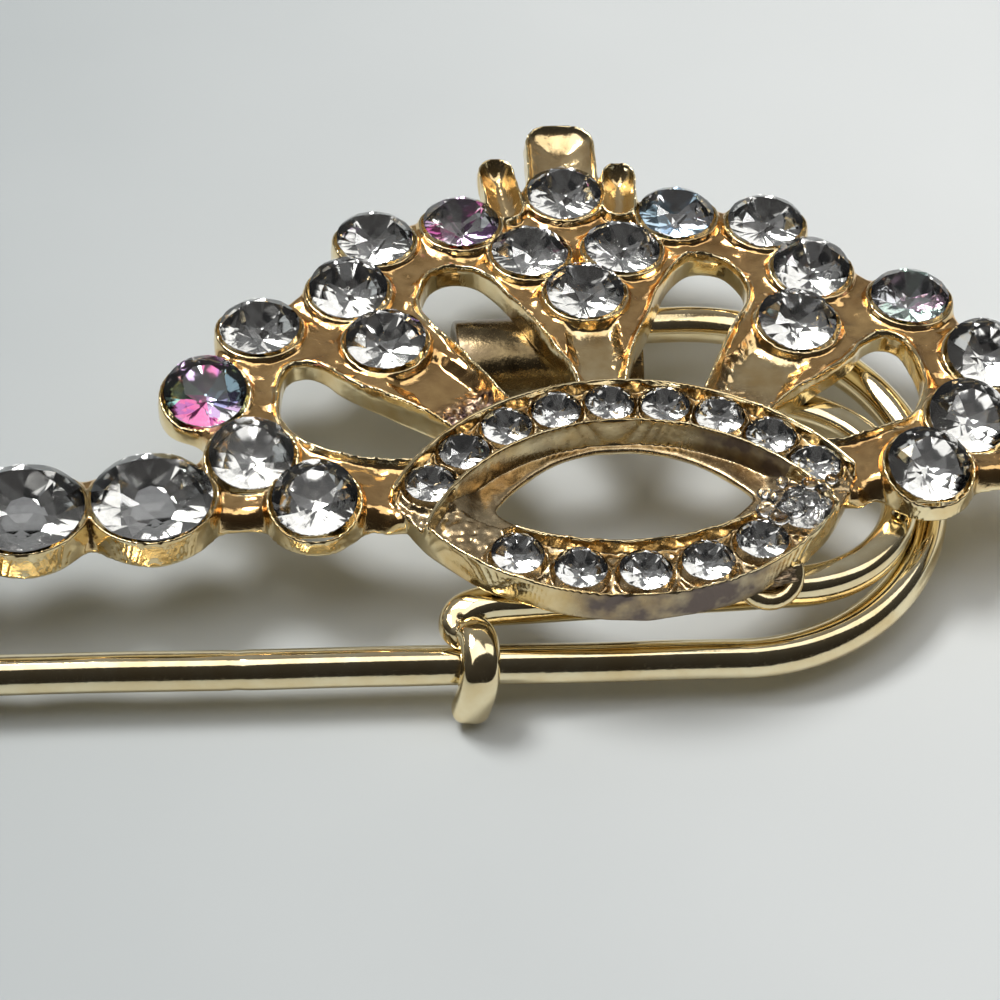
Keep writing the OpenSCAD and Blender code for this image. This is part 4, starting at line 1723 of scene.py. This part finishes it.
@dataclass
class GlueBubbles:
    """The cluster of clear beads over the last small stone of the lower strip."""

    # Share of the way along X, share of the way along Y, radius.
    beads: tuple[tuple[float, float, float], ...] = (
        (0.02, 0.22, 0.36),
        (0.10, 0.52, 0.30),
        (0.28, 0.22, 0.36),
        (0.16, 0.02, 0.40),
        (0.22, 0.46, 0.42),
        (0.40, 0.22, 0.45),
        (0.44, 0.66, 0.36),
        (0.62, 0.42, 0.40),
        (0.68, 0.84, 0.30),
        (0.84, 0.62, 0.33),
        (0.98, 0.92, 0.24),
        (0.34, 0.90, 0.26),
        (0.06, 0.64, 0.28),
        (0.80, 0.28, 0.27),
    )
    low: tuple[float, float] = (4.85, -2.75)
    high: tuple[float, float] = (7.75, -0.75)

    def build(self) -> bpy.types.Object:
        """Round beads, each a ball pulled by 1.1 along X and flattened to 0.8, in one mesh.

        Returns:
            The beads' object.
        """
        rows = np.array(self.beads)
        rings, sides = 14, 22
        ball = globe(rings, sides, 0.01).reshape(-1, 3) * np.array([1.1, 1.0, 0.8])
        x = self.low[0] + rows[:, 0] * (self.high[0] - self.low[0])
        y = self.low[1] + rows[:, 1] * (self.high[1] - self.low[1])
        middle = np.stack([x, y, np.full(len(x), GIRDLE_Z + 0.12)], -1)
        points = (middle[:, None, :] + rows[:, 2][:, None, None] * ball[None]).reshape(-1, 3)
        firsts = np.arange(len(rows)) * rings * sides
        quads = tube_quads(rings, sides, flip=True)
        faces = (quads[None] + firsts[:, None, None]).reshape(-1, 4).tolist()
        faces += (firsts[:, None] + np.arange(sides)).tolist()
        faces += (firsts[:, None] + (rings - 1) * sides + np.arange(sides)[::-1]).tolist()
        return mesh_object("glue_beads", points, faces, True)


@dataclass
class Stones:
    """All the stones, each turned its own way in its seat."""

    layout: Layout
    seed: int = 7

    def build(self) -> list[tuple[bpy.types.Object, str]]:
        """Makes every stone.

        Returns:
            Each stone's object with the node that it stands for.
        """
        finish = StoneFinish()
        clear, hazy = finish.glass("clear_glass"), finish.glass("cloudy_glass", 0.12)
        silver, dull = finish.foil("silver_foil", False), finish.foil("dull_foil", False, 0.45)
        rainbow = finish.foil("rainbow_foil", True)
        coats = {
            "clear_stone_1": ("sky", "grey", "plum", "green", "magenta", "magenta", "pale", "sky"),
            "clear_stone_5": ("grey", "plum", "grey", "grey", "magenta", "pink", "grey", "plum"),
            "clear_stone_14": ("grey", "grey", "grey", "sky", "sky", "azure", "sky", "pale"),
            "clear_stone_11": ("pale", "grey", "grey", "grey", "mint", "green", "mint", "pink"),
        }
        cloudy = {"clear_stone_8", "band_stone_15"}
        worn = {"band_stone_2"}
        rng = np.random.default_rng(self.seed)
        out = []
        for seat in self.layout.cups + self.layout.chips + self.layout.row:
            turn = float(rng.uniform(0, 45))
            nod = tuple(float(v) for v in rng.normal(0, 2.0, 2))
            stone = Stone(seat, turn, nod, coats.get(seat.node, ()))
            glass = hazy if seat.node in cloudy else clear
            foil = rainbow if seat.node in coats else dull if seat.node in worn else silver
            out.append((stone.build(glass, foil), seat.node))
        beads = GlueBubbles().build()
        dress(beads, clear)
        out.append((beads, "band_stone_15"))
        return out


# Studio


@dataclass(frozen=True)
class Softbox:
    """A soft light, in metres and watts."""

    name: str
    place: tuple[float, float, float]
    size: tuple[float, float]
    power: float
    colour: Colour = (1.0, 0.99, 0.97)


def greys(*stops: tuple[float, float]) -> list[tuple[float, Colour]]:
    """Stops of a ramp between greys, each a place and a brightness."""
    return [(place, (value, value, value)) for place, value in stops]


@dataclass
class Studio:
    """The pale surface, the soft light and the camera of the picture."""

    boxes: tuple[Softbox, ...] = (
        Softbox("key", (-0.15, 0.12, 0.36), (0.15, 0.13), 0.92, (1.0, 0.995, 0.98)),
        Softbox("left_panel", (-0.085, -0.03, 0.378), (0.26, 0.29), 0.37),
        Softbox("right_panel", (0.20, -0.01, 0.35), (0.18, 0.28), 0.20),
    )
    focal: float = 82.8
    eye: tuple[float, float, float] = (-13.93, -60.63, 60.42 + GIRDLE_Z)
    right: tuple[float, float, float] = (0.993, -0.114, 0.036)
    down: tuple[float, float, float] = (-0.055, -0.706, -0.706)

    def camera(self) -> bpy.types.Object:
        """The camera at the picture's angle.

        Returns:
            The camera, which is also the scene's.
        """
        data = bpy.data.cameras.new("picture_camera")
        data.lens, data.sensor_width = self.focal, 36.0
        data.clip_start, data.clip_end = 0.002, 20.0
        cam = bpy.data.objects.new("picture_camera", data)
        bpy.context.scene.collection.objects.link(cam)
        right = Vector(self.right).normalized()
        up = -Vector(self.down)
        up = (up - right * up.dot(right)).normalized()
        back = right.cross(up)
        place = Matrix.Translation(to_frame(np.array(self.eye)).tolist())
        cam.matrix_world = place @ Matrix((right, up, back)).transposed().to_4x4()
        bpy.context.scene.camera = cam
        return cam

    def floor(self) -> bpy.types.Object:
        """A wide pale matt surface with painted shade: darker toward the left, where the light is weaker.

        Returns:
            The surface's object.
        """
        mesh = bpy.data.meshes.new("pale_surface")
        half = 1.2
        corners = [(-half, -half, 0), (half, -half, 0), (half, half, 0), (-half, half, 0)]
        mesh.from_pydata(corners, [], [[0, 1, 2, 3]])
        obj = bpy.data.objects.new("pale_surface", mesh)
        bpy.context.scene.collection.objects.link(obj)
        material, n = open_material("pale_surface")
        where = n.add("TexCoord").outputs["Object"]
        along = n.add("SeparateXYZ", {0: where}).outputs["X"]
        # Painted shade: the colour darkens toward the left, standing in for weaker light there.
        share = n.math("ADD", n.math("MULTIPLY", along, 18.0), 0.6)
        uneven = n.math("SUBTRACT", n.noise(where, 45.0, 3.0), 0.5)
        share = n.math("ADD", share, n.math("MULTIPLY", uneven, 0.25))
        shade = n.ramp(share, [(0.0, (0.51, 0.55, 0.56)), (1.0, (0.90, 0.93, 0.93))])
        shader = n.add("BsdfPrincipled", {"Base Color": shade, "Roughness": 0.6})
        n.add("OutputMaterial", {"Surface": shader.outputs[0]}).is_active_output = True
        mesh.materials.append(material)
        return obj

    def softbox(self, box: Softbox) -> None:
        """Adds a flat soft light that faces the brooch.

        Args:
            box: the light's name, place, size, power and colour.
        """
        data = bpy.data.lights.new(box.name, "AREA")
        data.shape = "RECTANGLE"
        data.size, data.size_y = box.size
        data.energy, data.color = box.power, box.colour
        light = bpy.data.objects.new(box.name, data)
        light.location = box.place
        light.rotation_mode = "QUATERNION"
        light.rotation_quaternion = (-Vector(box.place)).to_track_quat("-Z", "Y")
        bpy.context.scene.collection.objects.link(light)

    def world(self) -> None:
        """A dim room: lighter overhead and behind, dark on the viewer's side."""
        world = bpy.data.worlds.new("room")
        bpy.context.scene.world = world
        world.use_nodes = True
        tree = world.node_tree
        tree.nodes.clear()
        n = Nodes(tree)
        way = n.add("TexCoord").outputs["Generated"]
        split = n.add("SeparateXYZ", {0: way})
        height = n.math("ADD", n.math("MULTIPLY", split.outputs["Z"], 0.5), 0.5)
        depth = n.math("ADD", n.math("MULTIPLY", split.outputs["Y"], 0.5), 0.5)
        sky = [(0.85, (0.28, 0.285, 0.29)), (0.97, (0.27, 0.27, 0.28))]
        overhead = n.ramp(height, greys((0.45, 0.11), (0.62, 0.19)) + sky)
        viewer = [(0.15, (0.14, 0.13, 0.12)), (0.50, (0.26, 0.25, 0.24))]
        facing = n.ramp(depth, viewer + greys((0.72, 0.80), (0.85, 1.0)))
        shade = n.add("Mix", data_type="RGBA", blend_type="MULTIPLY")
        n.put(shade.inputs[0], 1.0)
        n.put(shade.inputs[6], overhead)
        n.put(shade.inputs[7], facing)
        background = n.add("Background", {"Color": shade.outputs[2], "Strength": 1.0})
        n.add("OutputWorld", {"Surface": background.outputs[0]})

    def build(self) -> None:
        """Places everything that isn't the brooch."""
        self.camera()
        self.floor()
        for box in self.boxes:
            self.softbox(box)
        self.world()
        view = bpy.context.scene.view_settings
        view.view_transform = "Standard"
        view.look = "None"
        view.exposure = 0.0


def dress(obj: bpy.types.Object, material: bpy.types.Material) -> None:
    """Gives a piece its one material."""
    obj.data.materials.clear()
    obj.data.materials.append(material)


def main() -> None:
    """Builds the brooch and its studio, puts each piece under its body and hides the part that it replaces.
    """
    logging.basicConfig(level=logging.INFO, format="%(name)s: %(message)s")
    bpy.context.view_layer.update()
    plating = plating_group()
    gold = {kind: finish.build(plating) for kind, finish in GOLD.items()}
    layout = Layout()

    casting = Casting(layout).build()
    barrel = Barrel().build()
    for piece in casting + [barrel, *Staple().build()]:
        dress(piece, gold[Metal.BARREL if piece is barrel else Metal.CASTING])
        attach(piece, BODY)
        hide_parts("crown")
        LOG.info("%s: %d faces", piece.name, len(piece.data.polygons))

    pin = PinWire()
    for piece, node, kind in (
        (pin.build(), "pin_wire", Metal.WIRE),
        (KeeperWire().build(), "keeper_wire", Metal.WIRE),
        (ClaspCap(pin).build(), "pin_head", Metal.CAP),
    ):
        dress(piece, gold[kind])
        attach(piece, BODY)
        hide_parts(node)
        LOG.info("%s: %d faces", piece.name, len(piece.data.polygons))

    rainbow = {seat.node for seat in layout.cups if seat.cut is Cut.RAINBOW}
    for piece, node in Stones(layout).build():
        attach(piece, BODY)
        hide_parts(node)
    LOG.info("stones set: %d", len(layout.cups + layout.chips + layout.row))

    Studio().build()


if __name__ == "__main__":
    main()
